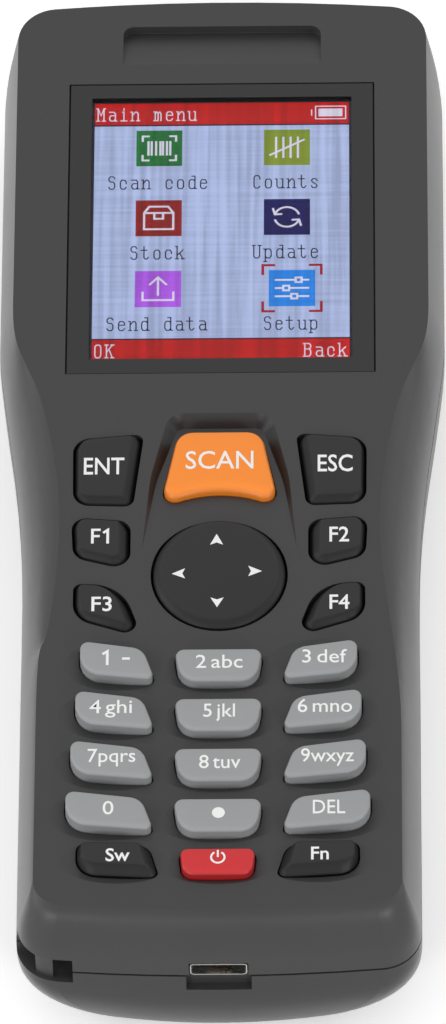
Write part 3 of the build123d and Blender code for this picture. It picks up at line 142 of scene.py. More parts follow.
class Graph:
    """A material's node tree around one Principled shader."""

    def __init__(self, name: str) -> None:
        """Starts an empty material.

        Args:
            name: the material's name.
        """
        self.material = bpy.data.materials.new(name)
        self.material.use_nodes = True
        self.tree = self.material.node_tree
        self.tree.nodes.clear()
        self.output = self.node("ShaderNodeOutputMaterial")
        self.shader = self.node("ShaderNodeBsdfPrincipled")
        self.surface(self.shader.outputs[0])
        self.place = self.node("ShaderNodeTexCoord").outputs["Object"]

    def node(self, kind: str, settings: dict | None = None, inputs: dict | None = None) -> bpy.types.Node:
        """Adds any node.

        Args:
            kind: the node's type.
            settings: its own properties, or a ramp's stops, set first.
            inputs: values or links of its sockets, by name or number.

        Returns:
            The node.
        """
        node = self.tree.nodes.new(kind)
        for name, setting in (settings or {}).items():
            if name == "stops":
                self._set_stops(node, setting)
            else:
                setattr(node, name, setting)
        for key, given in (inputs or {}).items():
            self.feed(node.inputs[key], given)
        return node

    @staticmethod
    def _set_stops(node: bpy.types.Node, stops: Sequence[tuple[float, Colour]]) -> None:
        """Gives a ramp its stops, each a position and a colour.

        Args:
            node: the ramp.
            stops: the positions and colours.
        """
        elements = node.color_ramp.elements
        while len(elements) < len(stops):
            elements.new(1.0)
        for element, (position, colour) in zip(elements, stops):
            element.position = position
            element.color = (*colour, 1.0)

    def feed(self, socket: bpy.types.NodeSocket, given: object) -> None:
        """Links a socket to another, or sets its value.

        Args:
            socket: the socket to feed.
            given: a value, an output or a constant.
        """
        if isinstance(given, Value):
            given = given.socket
        if isinstance(given, bpy.types.NodeSocket):
            self.tree.links.new(given, socket)
        elif isinstance(given, tuple) and len(given) == 3 and socket.type == "RGBA":
            socket.default_value = (*given, 1.0)
        else:
            socket.default_value = given

    def surface(self, socket: bpy.types.NodeSocket) -> None:
        """Makes a shader the material's surface."""
        self.tree.links.new(socket, self.output.inputs["Surface"])

    def set(self, **values: object) -> None:
        """Sets or feeds the Principled shader's sockets, named with underscores for spaces.

        Args:
            values: what each socket gets.
        """
        for name, given in values.items():
            self.feed(self.shader.inputs[name.replace("_", " ")], given)

    def along(self, axis: str) -> Value:
        """The place along X, Y or Z, in metres."""
        node = self.node("ShaderNodeSeparateXYZ", inputs={0: self.place})
        return Value(self, node.outputs[axis])

    def upness(self) -> Value:
        """How far the surface faces up along the object's own Z, from -1 to 1."""
        normal = self.node("ShaderNodeTexCoord").outputs["Normal"]
        return Value(self, self.node("ShaderNodeSeparateXYZ", inputs={0: normal}).outputs["Z"])

    def facing(self) -> Value:
        """0 where the surface is seen straight on, 1 at its rim."""
        return Value(self, self.node("ShaderNodeLayerWeight", inputs={"Blend": 0.5}).outputs["Facing"])

    def noise(self, size_mm: float, detail: float = 2.0, roughness: float = 0.5) -> Value:
        """Noise whose features are about size_mm wide, from 0 to 1.

        Args:
            size_mm: width of a feature.
            detail: how many finer layers it has.
            roughness: how strong those layers are.

        Returns:
            The noise.
        """
        node = self.node(
            "ShaderNodeTexNoise",
            inputs={
                "Vector": self.place, "Scale": 1.0 / (size_mm * MM), "Detail": detail,
                "Roughness": roughness,
            },
        )
        return Value(self, node.outputs[0])

    def streaks(self, size_mm: float, stretch: Sequence[float]) -> Value:
        """Noise stretched by a factor along each axis.

        Args:
            size_mm: width of a feature before it is stretched.
            stretch: the factor of each axis; a small one draws it out.

        Returns:
            The noise.
        """
        scaled = self.node(
            "ShaderNodeVectorMath", {"operation": "MULTIPLY"}, {0: self.place, 1: tuple(stretch)}
        )
        node = self.node(
            "ShaderNodeTexNoise",
            inputs={"Vector": scaled.outputs[0], "Scale": 1.0 / (size_mm * MM), "Detail": 2.0},
        )
        return Value(self, node.outputs[0])

    def mix(self, share: Value, first: object, second: object) -> bpy.types.NodeSocket:
        """A colour between two others.

        Args:
            share: how much of the second one.
            first: colour at 0.
            second: colour at 1.

        Returns:
            The colour.
        """
        node = self.node(
            "ShaderNodeMix", {"data_type": "RGBA"}, {"Factor": share, 6: first, 7: second}
        )
        return node.outputs[2]

    def bump(self, height: Value, depth_mm: float, rounding_mm: float = 0.0) -> None:
        """Feeds Normal from a height, over edges that are first rounded by a radius.

        Args:
            height: the relief.
            depth_mm: its depth.
            rounding_mm: the radius, or 0 for sharp edges.
        """
        inputs = {"Height": height, "Distance": depth_mm * MM}
        if rounding_mm:
            soft = self.node("ShaderNodeBevel", {"samples": 6}, {"Radius": rounding_mm * MM})
            inputs["Normal"] = soft.outputs[0]
        self.set(Normal=self.node("ShaderNodeBump", inputs=inputs).outputs[0])


# ------------------------------------------------------------------ finishes

WALL_FLAT = 0.97                    # upward share of the normal from which a cap counts as its top
GRAIN_SHARE = 0.6                   # of a plastic's tone; its slow clouding is the rest
CLOUD_SPREAD = 0.12                 # of a plastic's roughness
DRAWN_SPREAD = 0.2                  # of a metal's roughness
DUST_SPREAD = 0.06                  # of the lens's roughness
COLUMN_SHARE = 0.7                  # of a lit display's streaks; its rows are the rest
RIM_TURN = (0.45, 0.9)              # how far a flank is turned away as it begins to gleam, and fully does
FLANK_LEAN = (0.86, 0.985)          # upward share of the normal on a flank, and on a flat face
RIM_ROUGHNESS = 0.28


def shade(colour: Colour, factor: float) -> Colour:
    """A colour made lighter or darker."""
    return tuple(min(1.0, channel * factor) for channel in colour)


@dataclass(frozen=True)
class Plastic:
    """Moulded plastic with a fine eroded grain, with painted shade that darkens its steep walls."""

    name: str
    colour: Colour
    roughness: float = 0.5
    grain_mm: float = 0.2
    grain_depth_mm: float = 0.014
    mottle: float = 0.12
    specular: float = 0.5
    sheen_mm: float = 9.0
    painted_wall_shade: float = 1.0
    wall_steep: float = 0.55
    rounding_mm: float = 0.0
    rim_gloss: float = 0.0

    def material(self) -> bpy.types.Material:
        """Builds the material.

        Returns:
            The material.
        """
        graph = Graph(self.name)
        grain = graph.noise(self.grain_mm, 3.0, 0.6)
        cloud = graph.noise(self.sheen_mm, 2.0)
        tone = grain * GRAIN_SHARE + cloud * (1 - GRAIN_SHARE)
        colour = graph.mix(
            tone, shade(self.colour, 1 - self.mottle), shade(self.colour, 1 + self.mottle)
        )
        # Painted shade: steep walls get a darker copy of the colour, by how far their normal leans from up.
        if self.painted_wall_shade < 1.0:
            flat = graph.upness().lifted_over(self.wall_steep, WALL_FLAT)
            colour = graph.mix(flat, shade(self.colour, self.painted_wall_shade), colour)
        graph.set(
            Base_Color=self.with_painted_shade(graph, colour),
            Roughness=cloud * CLOUD_SPREAD + (self.roughness - CLOUD_SPREAD / 2),
            Specular_IOR_Level=self.specular,
        )
        if self.rim_gloss:
            flank = 1 - graph.upness().lifted_over(*FLANK_LEAN)
            graph.set(
                Coat_Weight=graph.facing().lifted_over(*RIM_TURN) * flank * self.rim_gloss,
                Coat_Roughness=RIM_ROUGHNESS,
            )
        graph.bump(grain, self.grain_depth_mm, self.rounding_mm)
        return graph.material

    def with_painted_shade(self, graph: Graph, colour: bpy.types.NodeSocket) -> bpy.types.NodeSocket:
        """The colour with painted shade where the shape would lie in shade: the same on a plain part."""
        return colour


@dataclass(frozen=True)
class HousingPlastic(Plastic):
    """The housings' plastic, with painted shade on the leaning walls of the scan key's recess."""

    recess_half_width: float = 10.6 * MM
    recess_tail: float = 0.0
    recess_head: float = 0.0
    recess_painted_shade: float = 0.2
    recess_lean: Point2 = (0.8, 0.98)       # upward share of the normal on its walls, and beside them

    def with_painted_shade(self, graph: Graph, colour: bpy.types.NodeSocket) -> bpy.types.NodeSocket:
        """The colour, with painted shade on the recess's walls.

        Args:
            graph: the material's node tree.
            colour: the plastic's colour.

        Returns:
            The colour to use.
        """
        # Painted shade: the recess's steep walls get a darker copy of the colour.
        walls = 1 - graph.upness().lifted_over(*self.recess_lean)
        within = (abs(graph.along("X")) < self.recess_half_width) * (graph.along("Y") > self.recess_tail)
        within = within * (graph.along("Y") < self.recess_head)
        return graph.mix(walls * within, colour, shade(self.colour, self.recess_painted_shade))


@dataclass(frozen=True)
class Metal:
    """Rolled or plated metal."""

    name: str
    colour: Colour
    roughness: float = 0.28
    scratch_mm: float = 0.3

    def material(self) -> bpy.types.Material:
        """Builds the material.

        Returns:
            The material.
        """
        graph = Graph(self.name)
        drawn = graph.streaks(self.scratch_mm, (0.15, 1.0, 1.0))
        graph.set(
            Base_Color=graph.mix(drawn, shade(self.colour, 0.88), shade(self.colour, 1.08)),
            Metallic=1.0,
            Roughness=drawn * DRAWN_SPREAD + (self.roughness - DRAWN_SPREAD / 2),
        )
        graph.bump(drawn, 0.004)
        return graph.material


@dataclass(frozen=True)
class Ink:
    """Printed legend ink, faintly uneven."""

    name: str
    colour: Colour

    def material(self) -> bpy.types.Material:
        """Builds the material.

        Returns:
            The material.
        """
        graph = Graph(self.name)
        blot = graph.noise(0.3, 2.0)
        graph.set(
            Base_Color=graph.mix(blot, shade(self.colour, 0.93), self.colour),
            Roughness=blot * 0.1 + 0.4,
        )
        return graph.material


@dataclass(frozen=True)
class Glow:
    """Colour that a lit display shows, with the streaks of its rows and columns."""

    name: str
    colour: Colour
    streak: float = 0.1
    strength: float = 0.85

    def material(self) -> bpy.types.Material:
        """Builds the material.

        Returns:
            The material.
        """
        graph = Graph(self.name)
        column = graph.streaks(0.9, (1.0, 0.03, 1.0))
        row = graph.streaks(0.45, (0.02, 1.0, 1.0))
        tone = column * COLUMN_SHARE + row * (1 - COLUMN_SHARE)
        spread = tone.lifted_over(0.3, 0.7)
        colour = graph.mix(
            spread, shade(self.colour, 1 - self.streak), shade(self.colour, 1 + self.streak)
        )
        graph.set(
            Base_Color=(0.004, 0.004, 0.005), Roughness=0.6, Specular_IOR_Level=0.05,
            Emission_Color=colour, Emission_Strength=self.strength,
        )
        return graph.material


@dataclass(frozen=True)
class WindowedLens:
    """Clear lens with a dark printed border around its window."""

    name: str
    colour: Colour
    centre: Point2
    half_width: float
    half_length: float
    roughness: float = 0.12
    least: float = 0.008

    def material(self) -> bpy.types.Material:
        """Builds the material: print outside the window, a thin reflecting film inside it.

        Returns:
            The material.
        """
        graph = Graph(self.name)
        across = abs(graph.along("X") - self.centre[0]) < self.half_width
        along = abs(graph.along("Y") - self.centre[1]) < self.half_length
        dust = graph.noise(0.25, 2.0)
        graph.set(
            Base_Color=graph.mix(dust, shade(self.colour, 0.9), shade(self.colour, 1.1)),
            Roughness=dust * DUST_SPREAD + (self.roughness - DUST_SPREAD / 2),
        )
        clear = graph.node("ShaderNodeBsdfTransparent")
        gloss = graph.node("ShaderNodeBsdfGlossy", inputs={"Roughness": 0.05})
        reflected = graph.facing() ** 5.0 * (1 - self.least) + self.least
        film = graph.node(
            "ShaderNodeMixShader", inputs={0: reflected, 1: clear.outputs[0], 2: gloss.outputs[0]}
        )
        cover = graph.node(
            "ShaderNodeMixShader",
            inputs={0: across * along, 1: graph.shader.outputs[0], 2: film.outputs[0]},
        )
        graph.surface(cover.outputs[0])
        return graph.material


@dataclass(frozen=True)
class Tinted:
    """Small tinted optic."""

    name: str
    colour: Colour
    alpha: float = 0.6

    def material(self) -> bpy.types.Material:
        """Builds the material.

        Returns:
            The material.
        """
        graph = Graph(self.name)
        depth = graph.noise(1.5, 2.0)
        graph.set(
            Base_Color=graph.mix(depth, shade(self.colour, 0.8), shade(self.colour, 1.15)),
            Roughness=depth * 0.05 + 0.05, Alpha=self.alpha, Coat_Weight=0.5,
        )
        return graph.material


@dataclass(frozen=True)
class Board:
    """Solder mask with the faint pattern of the tracks under it."""

    name: str
    colour: Colour

    def material(self) -> bpy.types.Material:
        """Builds the material.

        Returns:
            The material.
        """
        graph = Graph(self.name)
        cells = graph.node(
            "ShaderNodeTexVoronoi",
            {"distance": "MANHATTAN", "feature": "DISTANCE_TO_EDGE"},
            {"Vector": graph.place, "Scale": 450.0},
        )
        track = Value(graph, cells.outputs["Distance"]).lifted_over(0.05, 0.09)
        graph.set(
            Base_Color=graph.mix(track, shade(self.colour, 1.7), self.colour),
            Roughness=0.45 - track * 0.1,
        )
        graph.bump(track, 0.03)
        return graph.material


# ------------------------------------------------------------------ mesh helpers


def piece(name: str, bm: bmesh.types.BMesh, material: bpy.types.Material, body: str,
          slot: str | None = None, smooth: bool = True) -> bpy.types.Object:
    """Turns a bmesh into a piece that rides on a body.

    Args:
        name: the piece's name.
        bm: its geometry, freed here.
        material: its finish.
        body: the CAD body it moves with.
        slot: the record's material slot, if it has one for this piece; not used.
        smooth: whether its faces are shaded smooth.

    Returns:
        The object.
    """
    mesh = bpy.data.meshes.new(name)
    bmesh.ops.recalc_face_normals(bm, faces=bm.faces)
    bm.to_mesh(mesh)
    bm.free()
    mesh.materials.append(material)
    for polygon in mesh.polygons:
        polygon.use_smooth = smooth
    obj = bpy.data.objects.new(name, mesh)
    bpy.context.scene.collection.objects.link(obj)
    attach(obj, body)
    log.info("%s on %s", name, body)
    return obj


def slab(bm: bmesh.types.BMesh, points: Sequence[Point2], low: float, high: float,
         lift: Callable[[float, float], float] = lambda x, y: 0.0) -> None:
    """Adds a closed prism over a convex outline, lifted point by point.

    Args:
        bm: the bmesh to add to.
        points: the outline.
        low: height of its underside.
        high: height of its top.
        lift: how far each point is raised.
    """
    bottom = [bm.verts.new((x, y, low + lift(x, y))) for x, y in points]
    top = [bm.verts.new((x, y, high + lift(x, y))) for x, y in points]
    bm.faces.new(top)
    bm.faces.new(list(reversed(bottom)))
    for index in range(len(points)):
        after = (index + 1) % len(points)
        bm.faces.new((bottom[index], bottom[after], top[after], top[index]))


def rectangle(x: float, y: float, width: float, length: float) -> list[Point2]:
    """Corners of a rectangle by its centre.

    Args:
        x: the centre's x.
        y: the centre's y.
        width: size along x.
        length: size along y.

    Returns:
        The four corners, anticlockwise.
    """
    return [
        (x - width / 2, y - length / 2), (x + width / 2, y - length / 2),
        (x + width / 2, y + length / 2), (x - width / 2, y + length / 2),
    ]


def ribbon(bm: bmesh.types.BMesh, points: Sequence[Point2], width: float, low: float, high: float) -> None:
    """Adds a mitred line of even width as one closed prism.

    Args:
        bm: the bmesh to add to.
        points: the line's corners; it is closed where the last one is the first.
        width: the line's width.
        low: height of its underside.
        high: height of its top.
    """
    line = np.array(points, dtype=float)
    closed = bool(np.allclose(line[0], line[-1]))
    runs = np.diff(line, axis=0)
    runs /= np.linalg.norm(runs, axis=1)[:, None]
    across = np.stack([-runs[:, 1], runs[:, 0]], axis=1)
    first, last = (across[-1], across[0]) if closed else (across[0], across[-1])
    mitre = np.vstack([first, across]) + np.vstack([across, last])
    mitre *= 1.0 / np.maximum((mitre**2).sum(1) / 2, MITRE_LIMIT)[:, None]
    if not closed:
        line[0] -= runs[0] * width / 2
        line[-1] += runs[-1] * width / 2
    sides = [line + mitre * width / 2, line - mitre * width / 2]
    rows = [
        [bm.verts.new((x, y, height)) for x, y in side]
        for side, height in ((sides[0], low), (sides[1], low), (sides[1], high), (sides[0], high))
    ]
    for index in range(len(line) - 1):
        for one, other in zip(rows, rows[1:] + rows[:1]):
            bm.faces.new((one[index], other[index], other[index + 1], one[index + 1]))
    for index in (0, len(line) - 1):
        bm.faces.new([row[index] for row in rows])


MITRE_LIMIT = 0.35      # of the squared half sum of two runs' normals, so sharp corners stay short


def arc(centre: Point2, radius: float, start: float, end: float, steps: int = 24) -> list[Point2]:
    """Points on an arc between two angles in degrees.

    Args:
        centre: the arc's centre.
        radius: its radius.
        start: angle of the first point.
        end: angle of the last point.
        steps: how many runs it has.

    Returns:
        The points, both ends included.
    """
    return [
        (centre[0] + radius * math.cos(math.radians(start + (end - start) * step / steps)),
         centre[1] + radius * math.sin(math.radians(start + (end - start) * step / steps)))
        for step in range(steps + 1)
    ]


# ------------------------------------------------------------------ key caps


@dataclass(frozen=True)
class Edge:
    """How a cap rounds off: insets towards each side, drop and crown, in metres."""

    outer: float
    inner: float
    head: float
    tail: float
    drop: float
    crown: float
    fullness: float = 2.0       # 1 slopes straight down, 2 is a quarter round


class CapStyle(Enum):
    """Families of caps."""

    BLACK = Edge(0.6 * MM, 1.6 * MM, 0.25 * MM, 1.45 * MM, 1.3 * MM, 0.05 * MM, 1.22)
    NUMBER = Edge(0.25 * MM, 0.3 * MM, 0.18 * MM, 0.75 * MM, 0.4 * MM, 0.1 * MM)
    POWER = Edge(0.3 * MM, 0.3 * MM, 0.2 * MM, 0.7 * MM, 0.45 * MM, 0.1 * MM)
    SCAN = Edge(0.45 * MM, 0.45 * MM, 0.35 * MM, 1.5 * MM, 0.95 * MM, 0.12 * MM)
    PAD = Edge(1.2 * MM, 1.2 * MM, 0.8 * MM, 2.2 * MM, 0.95 * MM, 0.3 * MM, 1.7)


@dataclass
class KeyCap:
    """One key's cap, rebuilt over its CAD outline with soft edges."""

    node: str
    body: str
    style: CapStyle
    finish: bpy.types.Material
    slot: str
    fillet: float = 0.45 * MM
    flange_reach: float = 0.75 * MM
    flange_thickness: float = 0.8 * MM
    top_gap: float = 0.03 * MM
    wall_gap: float = 0.1 * MM      # from the foot of the rounding to the wall's upper ring
    flat_within: float = 0.01 * MM  # of the top, for a CAD face to count as part of it
    samples: int = 132
    ray_steps: int = 80
    edge_levels: tuple[float, ...] = (0.0, 0.03, 0.08, 0.15, 0.24, 0.35, 0.48, 0.63, 0.8, 1.0)
    crown_shares: tuple[float, ...] = (0.08, 0.2, 0.36, 0.55, 0.77)

    def top_loop(self) -> list[Vector]:
        """The ordered edge of the CAD cap's flat top.

        Returns:
            The points as 2D vectors.
        """
        mesh = frame["nodes"][self.node].data
        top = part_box(self.node)[1].z
        spot: Callable[[Vector], Point2] = lambda co: (round(co.x, 7), round(co.y, 7))
        edges: dict[frozenset[Point2], int] = {}
        for polygon in mesh.polygons:
            corners = [mesh.vertices[index].co for index in polygon.vertices]
            if all(corner.z > top - self.flat_within for corner in corners):
                for first, second in zip(corners, corners[1:] + corners[:1]):
                    edge = frozenset((spot(first), spot(second)))
                    edges[edge] = edges.get(edge, 0) + 1
        links: dict[Point2, list[Point2]] = {}
        for edge, count in edges.items():
            if count == 1 and len(edge) == 2:
                first, second = edge
                links.setdefault(first, []).append(second)
                links.setdefault(second, []).append(first)
        start = max(links)
        loop, before, here = [start], None, start
        while True:
            onward = [other for other in links[here] if other != before]
            before, here = here, onward[0]
            if here == start:
                break
            loop.append(here)
        return [Vector(point) for point in loop]

    def outline(self) -> np.ndarray:
        """Evenly spaced points of the cap's wall, anticlockwise, one row each.

        Returns:
            The points.
        """
        loop = self.top_loop()
        area = sum(a.x * b.y - b.x * a.y for a, b in zip(loop, loop[1:] + loop[:1]))
        if area < 0:
            loop.reverse()
        lengths = [(b - a).length for a, b in zip(loop, loop[1:] + loop[:1])]
        total = sum(lengths)
        points, walked, index = [], 0.0, 0
        for sample in range(self.samples):
            goal = total * sample / self.samples
            while walked + lengths[index] < goal:
                walked += lengths[index]
                index += 1
            share = (goal - walked) / lengths[index]
            points.append(tuple(loop[index].lerp(loop[(index + 1) % len(loop)], share)))
        return self.offset(np.array(points), self.fillet)

    @staticmethod
    def outward(points: np.ndarray, reach: int = 1) -> np.ndarray:
        """Outward directions, from the neighbours on each side within a reach.

        Args:
            points: a closed loop, one row each.
            reach: how many points back the earlier neighbour lies.

        Returns:
            One unit vector for each point.
        """
        along = np.roll(points, -1, axis=0) - np.roll(points, reach, axis=0)
        along /= np.linalg.norm(along, axis=1)[:, None]
        return np.stack([along[:, 1], -along[:, 0]], axis=1)

    @classmethod
    def offset(cls, points: np.ndarray, reach: float) -> np.ndarray:
        """The points moved outwards by an even reach."""
        return points + cls.outward(points) * reach

    @staticmethod
    def depths(points: np.ndarray, wall: np.ndarray, insets: np.ndarray | None = None) -> np.ndarray:
        """Distances from points to the wall, counted in insets where they are given.

        Args:
            points: the points, one row each.
            wall: the wall's points, one row each.
            insets: how wide the rounding is at each run of the wall.

        Returns:
            One distance for each point.
        """
        runs = np.roll(wall, -1, axis=0) - wall
        gaps = points[:, None, :] - wall[None, :, :]
        shares = np.clip((gaps * runs).sum(2) / (runs**2).sum(1), 0.0, 1.0)
        distances = np.linalg.norm(gaps - shares[:, :, None] * runs, axis=2)
        return (distances if insets is None else distances / insets).min(1)

    def insets(self, wall: np.ndarray) -> np.ndarray:
        """Width of the rounding at each run of the wall, by the way that it faces.

        Args:
            wall: the wall's points, one row each.

        Returns:
            One width for each run.
        """
        edge = self.style.value
        away = np.sign(round(float(wall[:, 0].mean() / MM), 1)) or 1.0
        facing = self.outward(wall, 0)
        across, along = facing[:, 0] * away, facing[:, 1]
        return (
            np.maximum(across, 0) ** 2 * edge.outer + np.minimum(across, 0) ** 2 * edge.inner
            + np.maximum(along, 0) ** 2 * edge.head + np.minimum(along, 0) ** 2 * edge.tail
        )

    def build(self) -> bpy.types.Object:
        """Builds the cap.

        Returns:
            The piece that stands for the CAD node.
        """
        edge = self.style.value
        low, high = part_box(self.node)
        top, flange_top = high.z - self.top_gap, low.z + self.flange_thickness
        wall = self.outline()
        middle = wall.mean(axis=0)
        deepest = self.depths(middle[None, :], wall)[0]
        steps = np.linspace(0.0, 1.0, self.ray_steps)
        rays = wall[:, None, :] + (middle - wall)[:, None, :] * steps[None, :, None]
        levels = self.depths(rays.reshape(-1, 2), wall, self.insets(wall)).reshape(len(wall), -1)
        levels = np.maximum.accumulate(levels, axis=1)
        bm = bmesh.new()

        def ring(points: np.ndarray, heights: float | np.ndarray) -> list[bmesh.types.BMVert]:
            """Adds one ring of corners."""
            rises = np.broadcast_to(heights, len(points))
            return [bm.verts.new((x, y, z)) for (x, y), z in zip(points, rises)]

        def crowned(shares: np.ndarray, drop: float) -> list[bmesh.types.BMVert]:
            """Adds the ring that lies at these shares of the rays, this far below the crown."""
            points = wall + (middle - wall) * shares[:, None]
            depth = np.minimum(1.0, self.depths(points, wall) / deepest)
            return ring(points, top - drop - edge.crown * (1 - depth) ** 2)

        flange = self.offset(wall, self.flange_reach)
        rings = self.underside(ring, low.z)
        rings += [
            ring(flange, low.z), ring(flange, flange_top), ring(wall, flange_top),
            ring(wall, top - edge.drop - edge.crown - self.wall_gap),
        ]
        shares = np.zeros(len(wall))
        for level in self.edge_levels:
            shares = np.array([np.interp(level, row, steps) for row in levels])
            fall = (1 - (1 - (1 - level) ** edge.fullness) ** (1 / edge.fullness)) * edge.drop
            rings.append(crowned(shares, fall))
        for share in self.crown_shares:
            rings.append(crowned(shares + (1 - shares) * share, 0.0))
        for lower, upper in zip(rings, rings[1:]):
            for index in range(self.samples):
                after = (index + 1) % self.samples
                bm.faces.new((lower[index], lower[after], upper[after], upper[index]))
        centre = bm.verts.new((middle[0], middle[1], top))
        for index in range(self.samples):
            bm.faces.new((rings[-1][index], rings[-1][(index + 1) % self.samples], centre))
        bm.faces.new(list(reversed(rings[0])))
        cap = piece(f"cap_{self.node}", bm, self.finish, self.body, self.slot)
        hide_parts(self.node)
        return cap

    def underside(self, ring: Callable[[np.ndarray, float], list[bmesh.types.BMVert]],
                  floor: float) -> list[list[bmesh.types.BMVert]]:
        """Rings of a hollow under the cap: none on a flat one.

        Args:
            ring: adds a ring of corners at a height.
            floor: height of the cap's underside.

        Returns:
            The rings, the deepest first.
        """
        return []


@dataclass
class PadCap(KeyCap):
    """The direction pad: round, on a wide flange, and hollow over its pivot."""

    flange_reach: float = 1.07 * MM
    flange_thickness: float = 1.1 * MM
    hollow_radius: float = 2.2 * MM
    hollow_depth: float = 1.2 * MM

    def circle(self, radius: float) -> np.ndarray:
        """Points of a circle about the pad's centre, anticlockwise."""
        low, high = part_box(self.node)
        return np.array(arc(((low.x + high.x) / 2, (low.y + high.y) / 2), radius, 0, 360, self.samples)[:-1])

    def outline(self) -> np.ndarray:
        """Evenly spaced points of the pad's wall."""
        low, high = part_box(self.node)
        return self.circle((high.x - low.x) / 2 - self.flange_reach)

    def underside(self, ring: Callable[[np.ndarray, float], list[bmesh.types.BMVert]],
                  floor: float) -> list[list[bmesh.types.BMVert]]:
        """Rings of the hollow over the pivot."""
        rim = self.circle(self.hollow_radius)
        return [ring(rim, floor + self.hollow_depth), ring(rim, floor)]


@dataclass
class Legend:
    """Print on a cap, set in the built-in font or drawn as lines."""

    name: str
    place: Point2
    height: float
    body: str
    level: float
    ink: bpy.types.Material
    squeeze: float = 1.0
    weight: float = 0.0
    thickness: float = 0.02 * MM

    def write(self, text: str) -> None:
        """Adds lettering as a thin solid, centred on the place.

        Args:
            text: the letters.
        """
        curve = bpy.data.curves.new(self.name, "FONT")
        curve.body = text
        curve.align_x = "CENTER"
        curve.size = self.height / CAP_HEIGHT_SHARE
        curve.extrude = self.thickness
        curve.offset = self.weight
        curve.space_word = 0.55
        curve.resolution_u = 3
        source = bpy.data.objects.new(self.name, curve)
        bpy.context.scene.collection.objects.link(source)
        bpy.context.view_layer.update()
        mesh = bpy.data.meshes.new_from_object(source)
        bpy.data.objects.remove(source)
        mesh.transform(
            Matrix.Translation((self.place[0], self.place[1] - self.height / 2, self.level))
            @ Matrix.Diagonal((self.squeeze, 1.0, 1.0, 1.0))
        )
        mesh.materials.clear()
        mesh.materials.append(self.ink)
        obj = bpy.data.objects.new(self.name, mesh)
        bpy.context.scene.collection.objects.link(obj)
        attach(obj, self.body)
        log.info("%s on %s", self.name, self.body)

    def draw(self, lines: Sequence[Sequence[Point2]], width: float) -> None:
        """Adds lines, whose points are in heights from the place, as thin prisms.

        Args:
            lines: the lines.
            width: their width.
        """
        bm = bmesh.new()
        for line in lines:
            points = [
                (self.place[0] + x * self.height * self.squeeze, self.place[1] + y * self.height)
                for x, y in line
            ]
            ribbon(bm, points, width, self.level - self.thickness, self.level + self.thickness)
        piece(self.name, bm, self.ink, self.body, smooth=False)


CAP_HEIGHT_SHARE = 0.72

# Line glyphs in heights about their middle
FLAGGED_ONE = ((-0.24, 0.3), (0.0, 0.47), (0.0, -0.5))
ONE_DASH = (tuple((x - 0.6, y) for x, y in FLAGGED_ONE), ((0.42, -0.1), (0.74, -0.1)))
F_ONE = (
    ((-0.08, 0.44), (-0.55, 0.44), (-0.55, -0.44)), ((-0.37, 0.0), (-0.14, 0.0)),
    tuple((x + 0.5, y * 0.9) for x, y in FLAGGED_ONE),
)


@dataclass(frozen=True)
class Print:
    """What a cap's legend says, where its middle lies and how tall it is, in millimetres."""

    text: str
    x: float
    y: float
    height: float = 2.2
    squeeze: float = 0.94
    lines: tuple = ()


@dataclass(frozen=True)
class ArrowHead:
    """An arrowhead on the direction pad: its turn in degrees, its place in millimetres, its scale."""

    turn: float
    x: float
    y: float
    width: float
    length: float


ARROW_HEADS = (
    ArrowHead(0, -0.35, 5.1, 0.9, 0.9), ArrowHead(90, -5.35, -0.4, 0.84, 0.88),
    ArrowHead(180, -0.25, -5.1, 0.9, 0.76), ArrowHead(270, 4.72, -0.1, 0.88, 0.9),
)


